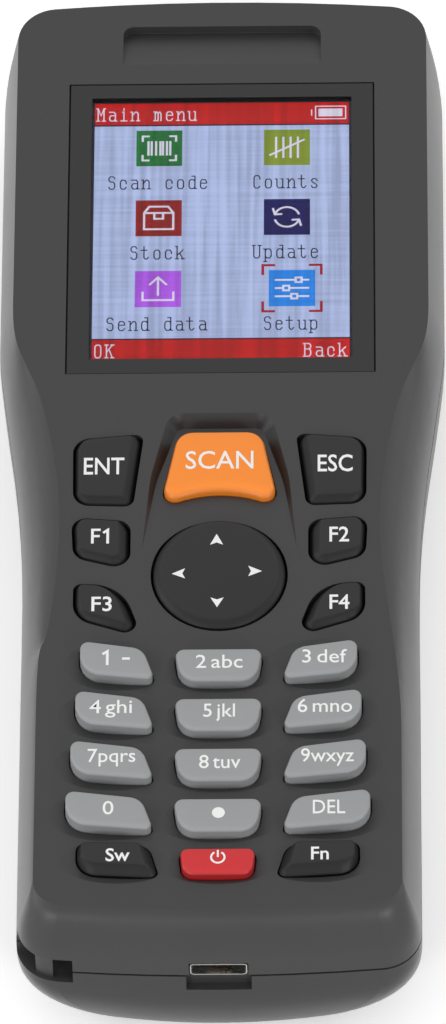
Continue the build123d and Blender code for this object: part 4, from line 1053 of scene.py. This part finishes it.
@dataclass
class Keypad:
    """All caps with their legends."""

    print_rise: float = 0.004 * MM
    weight: float = 0.012 * MM
    heavy: float = 0.035 * MM
    line: float = 0.36 * MM
    arrow_depth: float = 0.04 * MM
    legends: dict[str, Print] = field(default_factory=lambda: {
        "scan": Print("SCAN", 0.05, -1.67, 3.05, 0.86),
        "enter": Print("ENT", -15.65, -2.35, 2.85, 0.76), "escape": Print("ESC", 15.5, -2.12, 2.85, 0.76),
        "f1": Print("F1", -15.93, -14.05, 2.35, 0.83, F_ONE), "f2": Print("F2", 16.0, -13.95, 2.5, 0.86),
        "f3": Print("F3", -15.65, -25.15, 2.4, 0.97), "f4": Print("F4", 16.0, -25.07, 2.4, 0.9),
        "1": Print("1 -", -13.5, -34.65, 2.1, 1.0, ONE_DASH), "2": Print("2 abc", 0.1, -35.35, squeeze=1.04),
        "3": Print("3 def", 13.9, -34.6, squeeze=1.03), "4": Print("4 ghi", -14.15, -42.55, squeeze=1.06),
        "5": Print("5 jkl", 0.14, -43.25), "6": Print("6 mno", 14.1, -42.6, squeeze=0.98),
        "7": Print("7pqrs", -14.05, -50.4), "8": Print("8 tuv", 0.2, -51.5),
        "9": Print("9wxyz", 14.4, -50.55, squeeze=0.9), "0": Print("0", -14.4, -58.75, squeeze=1.05),
        "delete": Print("DEL", 14.55, -58.8, 2.25, 0.82),
        "switch": Print("Sw", -13.15, -65.95, 2.05, 0.95), "function": Print("Fn", 13.4, -65.9, 2.05, 0.95),
    })

    def style_of(self, key: str) -> tuple[CapStyle, str]:
        """The rounding of a key and its slot, which also names its finish.

        Args:
            key: the key's name.

        Returns:
            The style and the slot.
        """
        if key == "scan":
            return CapStyle.SCAN, "scan_key"
        if key == "power":
            return CapStyle.POWER, "power_key"
        if key.isdigit() or key in ("dot", "delete"):
            return CapStyle.NUMBER, "number_key"
        return CapStyle.BLACK, "black_key"

    def build(self, finishes: dict[str, bpy.types.Material]) -> None:
        """Builds every cap and legend.

        Args:
            finishes: the materials by slot.
        """
        ink = finishes["legend_ink"]
        keys = [node[4:] for node in frame["nodes"] if node.startswith("key_")]
        for key in keys:
            style, slot = self.style_of(key)
            KeyCap(f"key_{key}", f"{key}_key", style, finishes[slot], slot).build()
        PadCap("direction_pad", "pad", CapStyle.PAD, finishes["pad_plastic"], "black_key").build()
        for key, said in self.legends.items():
            legend = self.legend(key, ink, (said.x, said.y), said.height, said.squeeze)
            if said.lines:
                legend.draw(said.lines, self.line)
            else:
                legend.write(said.text)
        self.dot(ink)
        self.legend("power", ink, (0.05, -66.5), 2.0).draw(
            (arc((0.0, 0.0), 0.44, 130, 410, 36), ((0.0, 0.08), (0.0, 0.5))), 0.26 * MM
        )
        self.arrows(ink, finishes["arrow_rim"])

    def legend(self, key: str, ink: bpy.types.Material, place_mm: Point2, height_mm: float,
               squeeze: float = 1.0) -> Legend:
        """A legend that lies on a key's top.

        Args:
            key: the key.
            ink: its ink.
            place_mm: its middle.
            height_mm: its height.
            squeeze: its width as a share of the usual one.

        Returns:
            The legend.
        """
        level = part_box(f"key_{key}")[1].z - KeyCap.top_gap + self.print_rise - Legend.thickness / 2
        dark = self.style_of(key)[0] is CapStyle.BLACK
        return Legend(
            f"legend_{key}", (place_mm[0] * MM, place_mm[1] * MM), height_mm * MM, f"{key}_key",
            level, ink, squeeze, self.heavy if dark else self.weight,
        )

    def dot(self, ink: bpy.types.Material) -> None:
        """Prints the dot of the point key.

        Args:
            ink: the ink.
        """
        bm = bmesh.new()
        spot = self.legend("dot", ink, (0.1, -59.7), 1.0)
        slab(
            bm, arc(spot.place, 0.85 * MM, 0, 345, 23),
            spot.level - spot.thickness, spot.level + spot.thickness,
        )
        piece(spot.name, bm, ink, spot.body, smooth=False)

    def arrows(self, ink: bpy.types.Material, rim: bpy.types.Material) -> None:
        """Prints the four arrowheads of the direction pad, each on a dark rim.

        Args:
            ink: ink of the arrowheads.
            rim: ink of the rim.
        """
        low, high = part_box("direction_pad")
        centre = (low + high) / 2
        radius = (high.x - low.x) / 2 - PadCap.flange_reach

        def crown(x: float, y: float) -> float:
            """How far the pad's top lies under its middle."""
            away = math.hypot(x - centre.x, y - centre.y) / radius
            return -CapStyle.PAD.value.crown * away**2

        for name, material, grow, rise in (("rim", rim, 1.2, 0.012 * MM), ("arrow", ink, 1.0, 0.02 * MM)):
            bm = bmesh.new()
            for head in ARROW_HEADS:
                turn = Matrix.Rotation(math.radians(head.turn), 2)
                points = []
                for across, along in ((0.0, 1.12), (-0.98, -0.92), (0.0, -0.5), (0.98, -0.92)):
                    turned = turn @ Vector((across * head.width, along * head.length)) * grow
                    points.append(
                        (centre.x + (head.x + turned.x) * MM, centre.y + (head.y + turned.y) * MM)
                    )
                top = high.z - KeyCap.top_gap + rise
                for half in (points[:3], [points[0], *points[2:]]):
                    slab(bm, half, top - self.arrow_depth, top, crown)
            piece(f"legend_{name}", bm, material, "pad", smooth=False)


# ------------------------------------------------------------------ display

# Typewriter glyphs: strokes through grid points "xy", with the baseline at y 2, small
# letters up to 7 and capitals up to 9.
GLYPHS: dict[str, str] = {
    "M": "02-22 12-19 09-19-35-59-69 59-52 42-62", "S": "58-49-29-18-17-26-46-55-53-42-22-13",
    "C": "57-58-49-29-18-13-22-42-53", "U": "09-29 19-13-22-42-53-59 49-69",
    "O": "29-49-58-53-42-22-13-18-29", "K": "09-29 19-12 02-22 59-15 36-52 49-69 42-62",
    "B": "09-49-58-57-46-16 12-19 02-42-53-55-46", "a": "17-47-56-52-62 55-25-14-13-22-42-53",
    "c": "55-56-47-27-16-13-22-42-53", "d": "39-59-52-62 56-47-27-16-13-22-42-53",
    "e": "15-55-56-47-27-16-13-22-42-53", "i": "27-37-32 12-52 39-38",
    "k": "09-19-12 02-22 57-14 35-52 42-62", "m": "07-17-12 16-27-36-32 36-47-56-52 02-22",
    "n": "07-17-12 02-22 15-37-47-56-52 42-62", "o": "27-47-56-53-42-22-13-16-27",
    "p": "07-17-10 16-27-47-56-53-42-22-13 00-20", "s": "56-47-27-16-25-44-53-42-22-13",
    "t": "29-23-32-42-53 07-47", "u": "07-17-13-22-42-53 47-57-52-62",
}


def box_of(x0: float, y0: float, x1: float, y1: float) -> list[Point2]:
    """A closed rectangular line."""
    return [(x0, y0), (x1, y0), (x1, y1), (x0, y1), (x0, y0)]


def brackets(half_width: float, half_length: float, leg: float) -> list[list[Point2]]:
    """Four corner brackets about the origin.

    Args:
        half_width: half their reach along x.
        half_length: half their reach along y.
        leg: length of a bracket's leg.

    Returns:
        The lines.
    """
    return [
        [(sx * half_width, sy * (half_length - leg)), (sx * half_width, sy * half_length),
         (sx * (half_width - leg), sy * half_length)]
        for sx in (-1, 1) for sy in (-1, 1)
    ]


def slider(y: float, knob: float) -> list[list[Point2]]:
    """A line with a square knob on it."""
    return [[(-2.2, y), (knob - 0.45, y)], box_of(knob - 0.4, y - 0.4, knob + 0.4, y + 0.4),
            [(knob + 0.45, y), (2.2, y)]]


# Pictograms as lines in millimetres about the middle of their tile
BARS = [[(x, -1.1), (x, 1.1)] for x in (-1.5, -1.05, -0.45, 0.15, 0.5, 1.05, 1.5)]
PICTOGRAMS: dict[str, list] = {
    "scan": BARS + brackets(2.3, 2.1, 0.8),
    "tally": [[(x, -1.7), (x, 1.7)] for x in (-1.5, -0.5, 0.5, 1.5)] + [[(-2.3, -1.3), (2.3, 1.3)]],
    "box": [box_of(-2.0, -1.9, 2.0, 0.9), [(-2.0, 0.9), (-1.3, 2.0), (1.3, 2.0), (2.0, 0.9)],
            [(-0.6, 0.9), (-0.6, -0.1), (0.6, -0.1), (0.6, 0.9)]],
    "cycle": [arc((0.0, 0.0), 1.7, 20, 160, 12), arc((0.0, 0.0), 1.7, 200, 340, 12),
              [(-0.8, 0.5), (-1.65, 0.45), (-1.9, 1.4)], [(0.8, -0.5), (1.65, -0.45), (1.9, -1.4)]],
    "send": [[(0.0, -1.0), (0.0, 1.9)], [(-1.1, 0.8), (0.0, 2.0), (1.1, 0.8)],
             [(-2.1, -0.6), (-2.1, -1.9), (2.1, -1.9), (2.1, -0.6)]],
    "sliders": slider(1.4, 0.9) + slider(0.0, -0.8) + slider(-1.4, 0.3),
}


@dataclass(frozen=True)
class Tile:
    """One entry of the menu: its place, finish, pictogram and caption, in millimetres."""

    x: float
    y: float
    finish: str
    pictogram: str
    caption: str


@dataclass
class Screen:
    """Picture on the lit display: a generic menu, in millimetres from the panel's middle."""

    half_width: float = 17.55
    top: float = 22.45
    bar_foot: float = 18.6
    bar_head: float = -18.3
    bottom: float = -22.35
    tile_width: float = 6.33
    tile_length: float = 6.2
    unit_x: float = 0.2
    unit_y: float = 0.308
    advance: float = 1.577
    pen: float = 0.17
    layer: float = 0.008 * MM
    tiles: tuple[Tile, ...] = (
        Tile(-8.6, 14.6, "screen_green", "scan", "Scan code"),
        Tile(9.0, 14.6, "screen_olive", "tally", "Counts"),
        Tile(-8.6, 2.45, "screen_brown", "box", "Stock"),
        Tile(9.0, 2.5, "screen_navy", "cycle", "Update"),
        Tile(-8.6, -9.75, "screen_violet", "send", "Send data"),
        Tile(9.7, -9.75, "screen_sky", "sliders", "Setup"),
    )

    def build(self, finishes: dict[str, bpy.types.Material]) -> None:
        """Builds the picture's layers.

        Args:
            finishes: the materials by slot.
        """
        low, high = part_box("lcd_panel")
        self.origin = Vector(((low.x + high.x) / 2, (low.y + high.y) / 2, high.z))
        self.finishes = finishes
        middle = (self.top + self.bottom) / 2
        self.field("ground", "screen_ground", 0.0, middle, 2 * self.half_width, self.top - self.bottom, 1)
        for name, foot, head in (("title", self.bar_foot, self.top), ("keys", self.bottom, self.bar_head)):
            self.field(
                name, "screen_red", 0.0, (foot + head) / 2, 2 * self.half_width, head - foot, 2
            )
        edges = [[(-self.half_width, y), (self.half_width, y)] for y in (self.bar_foot, self.bar_head)]
        self.lines("edges", "screen_ink", edges, 0.22, 3)
        pale = [self.text("Main menu", -17.3, 19.45), self.text("OK", -17.3, -21.4)]
        pale.append(self.text("Back", self.half_width - 4 * self.advance, -21.4))
        pale.append([box_of(12.95, 19.55, 17.1, 21.75), [(12.4, 20.2), (12.4, 21.1)]])
        self.lines("bar_text", "screen_pale", [line for part in pale for line in part], self.pen, 3)
        self.field("charge", "screen_pale", 15.0, 20.65, 3.3, 1.35, 3)
        for tile in self.tiles:
            self.field(tile.pictogram, tile.finish, tile.x, tile.y, self.tile_width, self.tile_length, 2)
        drawn = [
            [(x + tile.x, y + tile.y) for x, y in line]
            for tile in self.tiles for line in PICTOGRAMS[tile.pictogram]
        ]
        self.lines("pictograms", "screen_pale", drawn, 0.3, 3)
        captions = [
            line for tile in self.tiles
            for line in self.text(
                tile.caption, tile.x - len(tile.caption) * self.advance / 2,
                tile.y - self.tile_length / 2 - 3.95,
            )
        ]
        self.lines("captions", "screen_ink", captions, self.pen, 2)
        chosen = self.tiles[-1]
        frame_lines = brackets(4.0, 3.95, 1.5)
        self.lines(
            "chosen", "screen_mark",
            [[(x + chosen.x, y + chosen.y) for x, y in line] for line in frame_lines], 0.38, 2,
        )

    def field(self, name: str, finish: str, x: float, y: float, width: float, length: float,
              layer: int) -> None:
        """Adds a filled rectangle in a layer over the panel.

        Args:
            name: the piece's name.
            finish: its finish.
            x: its middle's x.
            y: its middle's y.
            width: size along x.
            length: size along y.
            layer: how many layers up its top lies.
        """
        bm = bmesh.new()
        centre_x, centre_y = self.origin.x + x * MM, self.origin.y + y * MM
        slab(
            bm, rectangle(centre_x, centre_y, width * MM, length * MM),
            self.origin.z, self.origin.z + layer * self.layer,
        )
        piece(f"screen_{name}", bm, self.finishes[finish], HOUSING, "lcd", smooth=False)

    def lines(self, name: str, finish: str, lines: Sequence[Sequence[Point2]], width: float,
              layer: int) -> None:
        """Adds lines in a layer over the panel.

        Args:
            name: the piece's name.
            finish: their finish.
            lines: the lines.
            width: their width.
            layer: how many layers up their top lies.
        """
        bm = bmesh.new()
        for line in lines:
            points = [(self.origin.x + x * MM, self.origin.y + y * MM) for x, y in line]
            ribbon(bm, points, width * MM, self.origin.z, self.origin.z + layer * self.layer)
        piece(f"screen_{name}", bm, self.finishes[finish], HOUSING, "lcd", smooth=False)

    def text(self, words: str, x: float, baseline: float) -> list[list[Point2]]:
        """Lines of a text that starts at x on a baseline.

        Args:
            words: the text.
            x: where its first letter starts.
            baseline: the baseline's y.

        Returns:
            The lines.
        """
        lines = []
        for place, letter in enumerate(words):
            start = x + place * self.advance
            for run in GLYPHS.get(letter, "").split():
                lines.append([
                    (start + int(spot[0]) * self.unit_x, baseline + (int(spot[1]) - 2) * self.unit_y)
                    for spot in run.split("-")
                ])
        return lines


# ------------------------------------------------------------------ tail


@dataclass
class Socket:
    """The drawn steel shell of the micro USB socket, with soft corners and a thin mouth."""

    sheet: float = 0.16 * MM
    upper_radius: float = 0.4 * MM
    lower_radius: float = 0.6 * MM
    corner_steps: int = 6

    def loop(self, inset: float) -> list[Point2]:
        """Points of the section, seen from the tail.

        Args:
            inset: how far they lie inside the shell's outer face.

        Returns:
            The points as x and z.
        """
        low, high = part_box("usb_shell")
        middle, half = (low + high) / 2, (high - low) / 2
        points = []
        for across, up, start, radius in (
            (1, -1, -90, self.lower_radius), (1, 1, 0, self.upper_radius),
            (-1, 1, 90, self.upper_radius), (-1, -1, 180, self.lower_radius),
        ):
            centre = (middle.x + across * (half.x - radius), middle.z + up * (half.z - radius))
            points += arc(centre, radius - inset, start, start + 90, self.corner_steps)
        return points

    def build(self, finishes: dict[str, bpy.types.Material]) -> None:
        """Builds the shell.

        Args:
            finishes: the materials by slot.
        """
        low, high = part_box("usb_shell")
        bm = bmesh.new()
        rings = [
            [bm.verts.new((x, y, z)) for x, z in self.loop(inset)]
            for inset, y in (
                (self.sheet, high.y - self.sheet), (self.sheet, low.y), (0.0, low.y), (0.0, high.y),
            )
        ]
        count = len(rings[0])
        for first, second in zip(rings, rings[1:]):
            for index in range(count):
                after = (index + 1) % count
                bm.faces.new((first[index], first[after], second[after], second[index]))
        bm.faces.new(rings[0])
        bm.faces.new(list(reversed(rings[-1])))
        shell = piece("socket_shell", bm, finishes["sheet_steel"], HOUSING, "sheet_steel", smooth=False)
        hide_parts("usb_shell")


# ------------------------------------------------------------------ studio


@dataclass
class SoftBox:
    """A large soft lamp aimed at a point."""

    name: str
    place: tuple[float, float, float]
    aim: tuple[float, float, float]
    size: Point2
    power: float

    def build(self) -> None:
        """Adds the lamp."""
        lamp = bpy.data.lights.new(self.name, "AREA")
        lamp.shape = "RECTANGLE"
        lamp.size, lamp.size_y = self.size
        lamp.energy = self.power
        obj = bpy.data.objects.new(self.name, lamp)
        obj.location = self.place
        way = Vector(self.aim) - Vector(self.place)
        obj.rotation_euler = way.to_track_quat("-Z", "Y").to_euler()
        bpy.context.scene.collection.objects.link(obj)


@dataclass
class Studio:
    """Floor, world, lamps and camera."""

    floor_size: float = 6.0
    floor_colour: Colour = (0.92, 0.92, 0.92)
    floor_lift: float = 0.32
    world_level: float = 0.66
    azimuth: float = 1.76
    elevation: float = 54.0
    roll: float = 1.86
    distance: float = 1.4
    aim: tuple[float, float, float] = (0.0, -9.8 * MM, 26.5 * MM)
    pixels_per_mm: float = 7.45
    image_width: int = 446
    image_length: int = 1024
    axis_column: float = 219.53
    sensor: float = 36.0

    def build(self) -> None:
        """Builds the studio."""
        self.floor()
        self.world()
        self.camera()
        for box in (
            SoftBox("lamp_left", (-1.0, 0.0, 0.32), (0, 0, 0), (0.5, 1.2), 3.8),
            SoftBox("lamp_right", (1.0, 0.2, 0.32), (0, 0, 0), (0.5, 1.2), 1.7),
            SoftBox("lamp_front_left", (-0.6, -0.95, 0.42), (0, 0, 0), (0.3, 0.3), 3.0),
            SoftBox("lamp_front_right", (0.62, -0.95, 0.42), (0, 0, 0), (0.3, 0.3), 3.2),
        ):
            box.build()
        bpy.context.scene.view_settings.view_transform = "Standard"

    def floor(self) -> None:
        """Lays the floor."""
        mesh = bpy.data.meshes.new("floor")
        bm = bmesh.new()
        corners = rectangle(0.0, 0.0, self.floor_size, self.floor_size)
        bm.faces.new([bm.verts.new((x, y, 0.0)) for x, y in corners])
        bm.to_mesh(mesh)
        bm.free()
        graph = Graph("floor")
        cloud = graph.noise(400.0, 1.0)
        seen = Value(graph, graph.node("ShaderNodeLightPath").outputs["Is Camera Ray"])
        lift = seen * self.floor_lift
        graph.set(
            Base_Color=graph.mix(cloud, shade(self.floor_colour, 0.99), shade(self.floor_colour, 1.01)),
            Roughness=0.9,
            Emission_Color=graph.mix(lift, (0.0, 0.0, 0.0), (1.0, 1.0, 1.0)),
            Emission_Strength=1.0,
        )
        mesh.materials.append(graph.material)
        floor = bpy.data.objects.new("floor", mesh)
        bpy.context.scene.collection.objects.link(floor)

    def world(self) -> None:
        """Lights the world: white to the eye and in gloss, plainer as a light."""
        world = bpy.data.worlds.new("studio")
        bpy.context.scene.world = world
        world.use_nodes = True
        tree = world.node_tree
        tree.nodes.clear()
        path = tree.nodes.new("ShaderNodeLightPath")
        seen = tree.nodes.new("ShaderNodeMath")
        seen.operation = "MAXIMUM"
        tree.links.new(path.outputs["Is Camera Ray"], seen.inputs[0])
        tree.links.new(path.outputs["Is Glossy Ray"], seen.inputs[1])
        clear = tree.nodes.new("ShaderNodeMath")
        clear.operation = "MAXIMUM"
        tree.links.new(seen.outputs[0], clear.inputs[0])
        tree.links.new(path.outputs["Is Transmission Ray"], clear.inputs[1])
        level = tree.nodes.new("ShaderNodeMapRange")
        level.inputs["To Min"].default_value = self.world_level
        level.inputs["To Max"].default_value = 1.0
        tree.links.new(clear.outputs[0], level.inputs["Value"])
        ground = tree.nodes.new("ShaderNodeBackground")
        ground.inputs["Color"].default_value = (1.0, 1.0, 1.0, 1.0)
        tree.links.new(level.outputs[0], ground.inputs["Strength"])
        output = tree.nodes.new("ShaderNodeOutputWorld")
        tree.links.new(ground.outputs[0], output.inputs["Surface"])

    def camera(self) -> None:
        """Sets the camera that looks at the face."""
        azimuth, elevation, roll = (math.radians(a) for a in (self.azimuth, self.elevation, self.roll))
        back = Vector((
            math.sin(azimuth) * math.cos(elevation), -math.cos(azimuth) * math.cos(elevation),
            math.sin(elevation),
        ))
        level = Vector((math.cos(azimuth), math.sin(azimuth), 0.0))
        up = back.cross(level)
        right = level * math.cos(roll) - up * math.sin(roll)
        above = level * math.sin(roll) + up * math.cos(roll)
        lens = bpy.data.cameras.new("camera")
        lens.sensor_width = self.sensor
        lens.lens = self.pixels_per_mm / MM * self.distance * self.sensor / self.image_length
        lens.shift_x = (self.image_width / 2 - self.axis_column) / self.image_length
        camera = bpy.data.objects.new("camera", lens)
        matrix = Matrix((right, above, back)).transposed().to_4x4()
        matrix.translation = Vector(self.aim) + back * self.distance
        camera.matrix_world = matrix
        bpy.context.scene.collection.objects.link(camera)
        bpy.context.scene.camera = camera


# ------------------------------------------------------------------ whole terminal


def make_finishes() -> dict[str, bpy.types.Material]:
    """Makes every finish.

    Returns:
        The materials by slot.
    """
    low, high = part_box("display_lens")
    centre = ((low.x + high.x) / 2, (low.y + high.y) / 2)
    low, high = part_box("direction_pad")
    pad_y = (low.y + high.y) / 2
    kinds = [
        HousingPlastic(
            "housing_plastic", (0.031, 0.031, 0.032), 0.44, 0.26, 0.024, rounding_mm=0.12, rim_gloss=1.0,
            recess_tail=pad_y + 4.0 * MM, recess_head=pad_y + 28.0 * MM,
        ),
        # The caps' steep walls get painted shade, a darker copy of their colour.
        Plastic(
            "black_key", (0.0175, 0.0175, 0.018), 0.5, grain_depth_mm=0.006, painted_wall_shade=0.1,
            wall_steep=0.82, specular=0.34,
        ),
        Plastic(
            "pad_plastic", (0.0145, 0.0145, 0.015), 0.52, grain_depth_mm=0.006, painted_wall_shade=0.25,
            wall_steep=0.9, specular=0.36,
        ),
        Plastic("number_key", (0.315, 0.32, 0.325), 0.5, grain_depth_mm=0.006, mottle=0.05, painted_wall_shade=0.82),
        Plastic("scan_key", (0.98, 0.27, 0.025), 0.42, grain_depth_mm=0.005, mottle=0.04, painted_wall_shade=0.75),
        Plastic("power_key", (0.60, 0.018, 0.022), 0.42, grain_depth_mm=0.005, mottle=0.04, painted_wall_shade=0.6),
        Plastic("silicone", (0.2, 0.2, 0.21), 0.6, grain_depth_mm=0.01),
        Plastic("foam", (0.05, 0.05, 0.05), 0.9, grain_mm=0.5, grain_depth_mm=0.1, mottle=0.3),
        Plastic("inner_plastic", (0.06, 0.06, 0.06), 0.5),
        Plastic("flex", (0.55, 0.3, 0.06), 0.3, grain_depth_mm=0.003),
        Plastic("lead_insulation", (0.5, 0.03, 0.03), 0.35, grain_depth_mm=0.003),
        Metal("sheet_steel", (0.62, 0.62, 0.6)),
        Metal("screw_steel", (0.16, 0.16, 0.165), 0.4),
        Metal("contact_gold", (0.9, 0.66, 0.25), 0.2),
        Metal("battery_foil", (0.72, 0.73, 0.75), 0.35, 1.2),
        Board("circuit_board", (0.02, 0.16, 0.06)),
        Tinted("scan_window", (0.12, 0.008, 0.01), 0.75),
        Tinted("clear_lens", (0.45, 0.5, 0.55), 0.5),
        WindowedLens(
            "display_lens", (0.008, 0.008, 0.009), centre, 17.9 * MM, 22.5 * MM,
        ),
        Glow("lcd", (0.02, 0.02, 0.03)),
        Glow("screen_ground", (0.42, 0.50, 0.78), 0.2),
        Glow("screen_red", (0.50, 0.012, 0.010), 0.3),
        Glow("screen_ink", (0.012, 0.010, 0.03), 0.2),
        Glow("screen_pale", (0.72, 0.70, 0.85), 0.1),
        Glow("screen_mark", (0.36, 0.012, 0.03), 0.1),
        Glow("screen_green", (0.015, 0.16, 0.035), 0.35),
        Glow("screen_olive", (0.22, 0.30, 0.03), 0.2),
        Glow("screen_brown", (0.27, 0.014, 0.012), 0.25),
        Glow("screen_navy", (0.010, 0.008, 0.10), 0.25),
        Glow("screen_violet", (0.42, 0.10, 0.78), 0.2),
        Glow("screen_sky", (0.02, 0.24, 0.82), 0.15),
        Ink("legend_ink", (0.92, 0.92, 0.91)),
        Ink("arrow_rim", (0.004, 0.004, 0.004)),
    ]
    return {kind.name: kind.material() for kind in kinds}


@dataclass
class Casework:
    """CAD nodes that keep their shape and get their finish."""

    def dress(self, finishes: dict[str, bpy.types.Material]) -> None:
        """Gives every CAD node the finish of its slot.

        Args:
            finishes: the materials by slot.
        """
        for part in frame["record"]["subparts"]:
            obj = frame["nodes"][part["node"]]
            obj.data.materials.clear()
            obj.data.materials.append(finishes[part["material_slot"]])
            log.info("%s in %s", part["node"], part["material_slot"])


def main() -> None:
    """Builds the terminal around the frame."""
    logging.basicConfig(level=logging.INFO, format="%(name)s: %(message)s")
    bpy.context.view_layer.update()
    finishes = make_finishes()
    Casework().dress(finishes)
    Keypad().build(finishes)
    Screen().build(finishes)
    Socket().build(finishes)
    Studio().build()


if __name__ == "__main__":
    main()
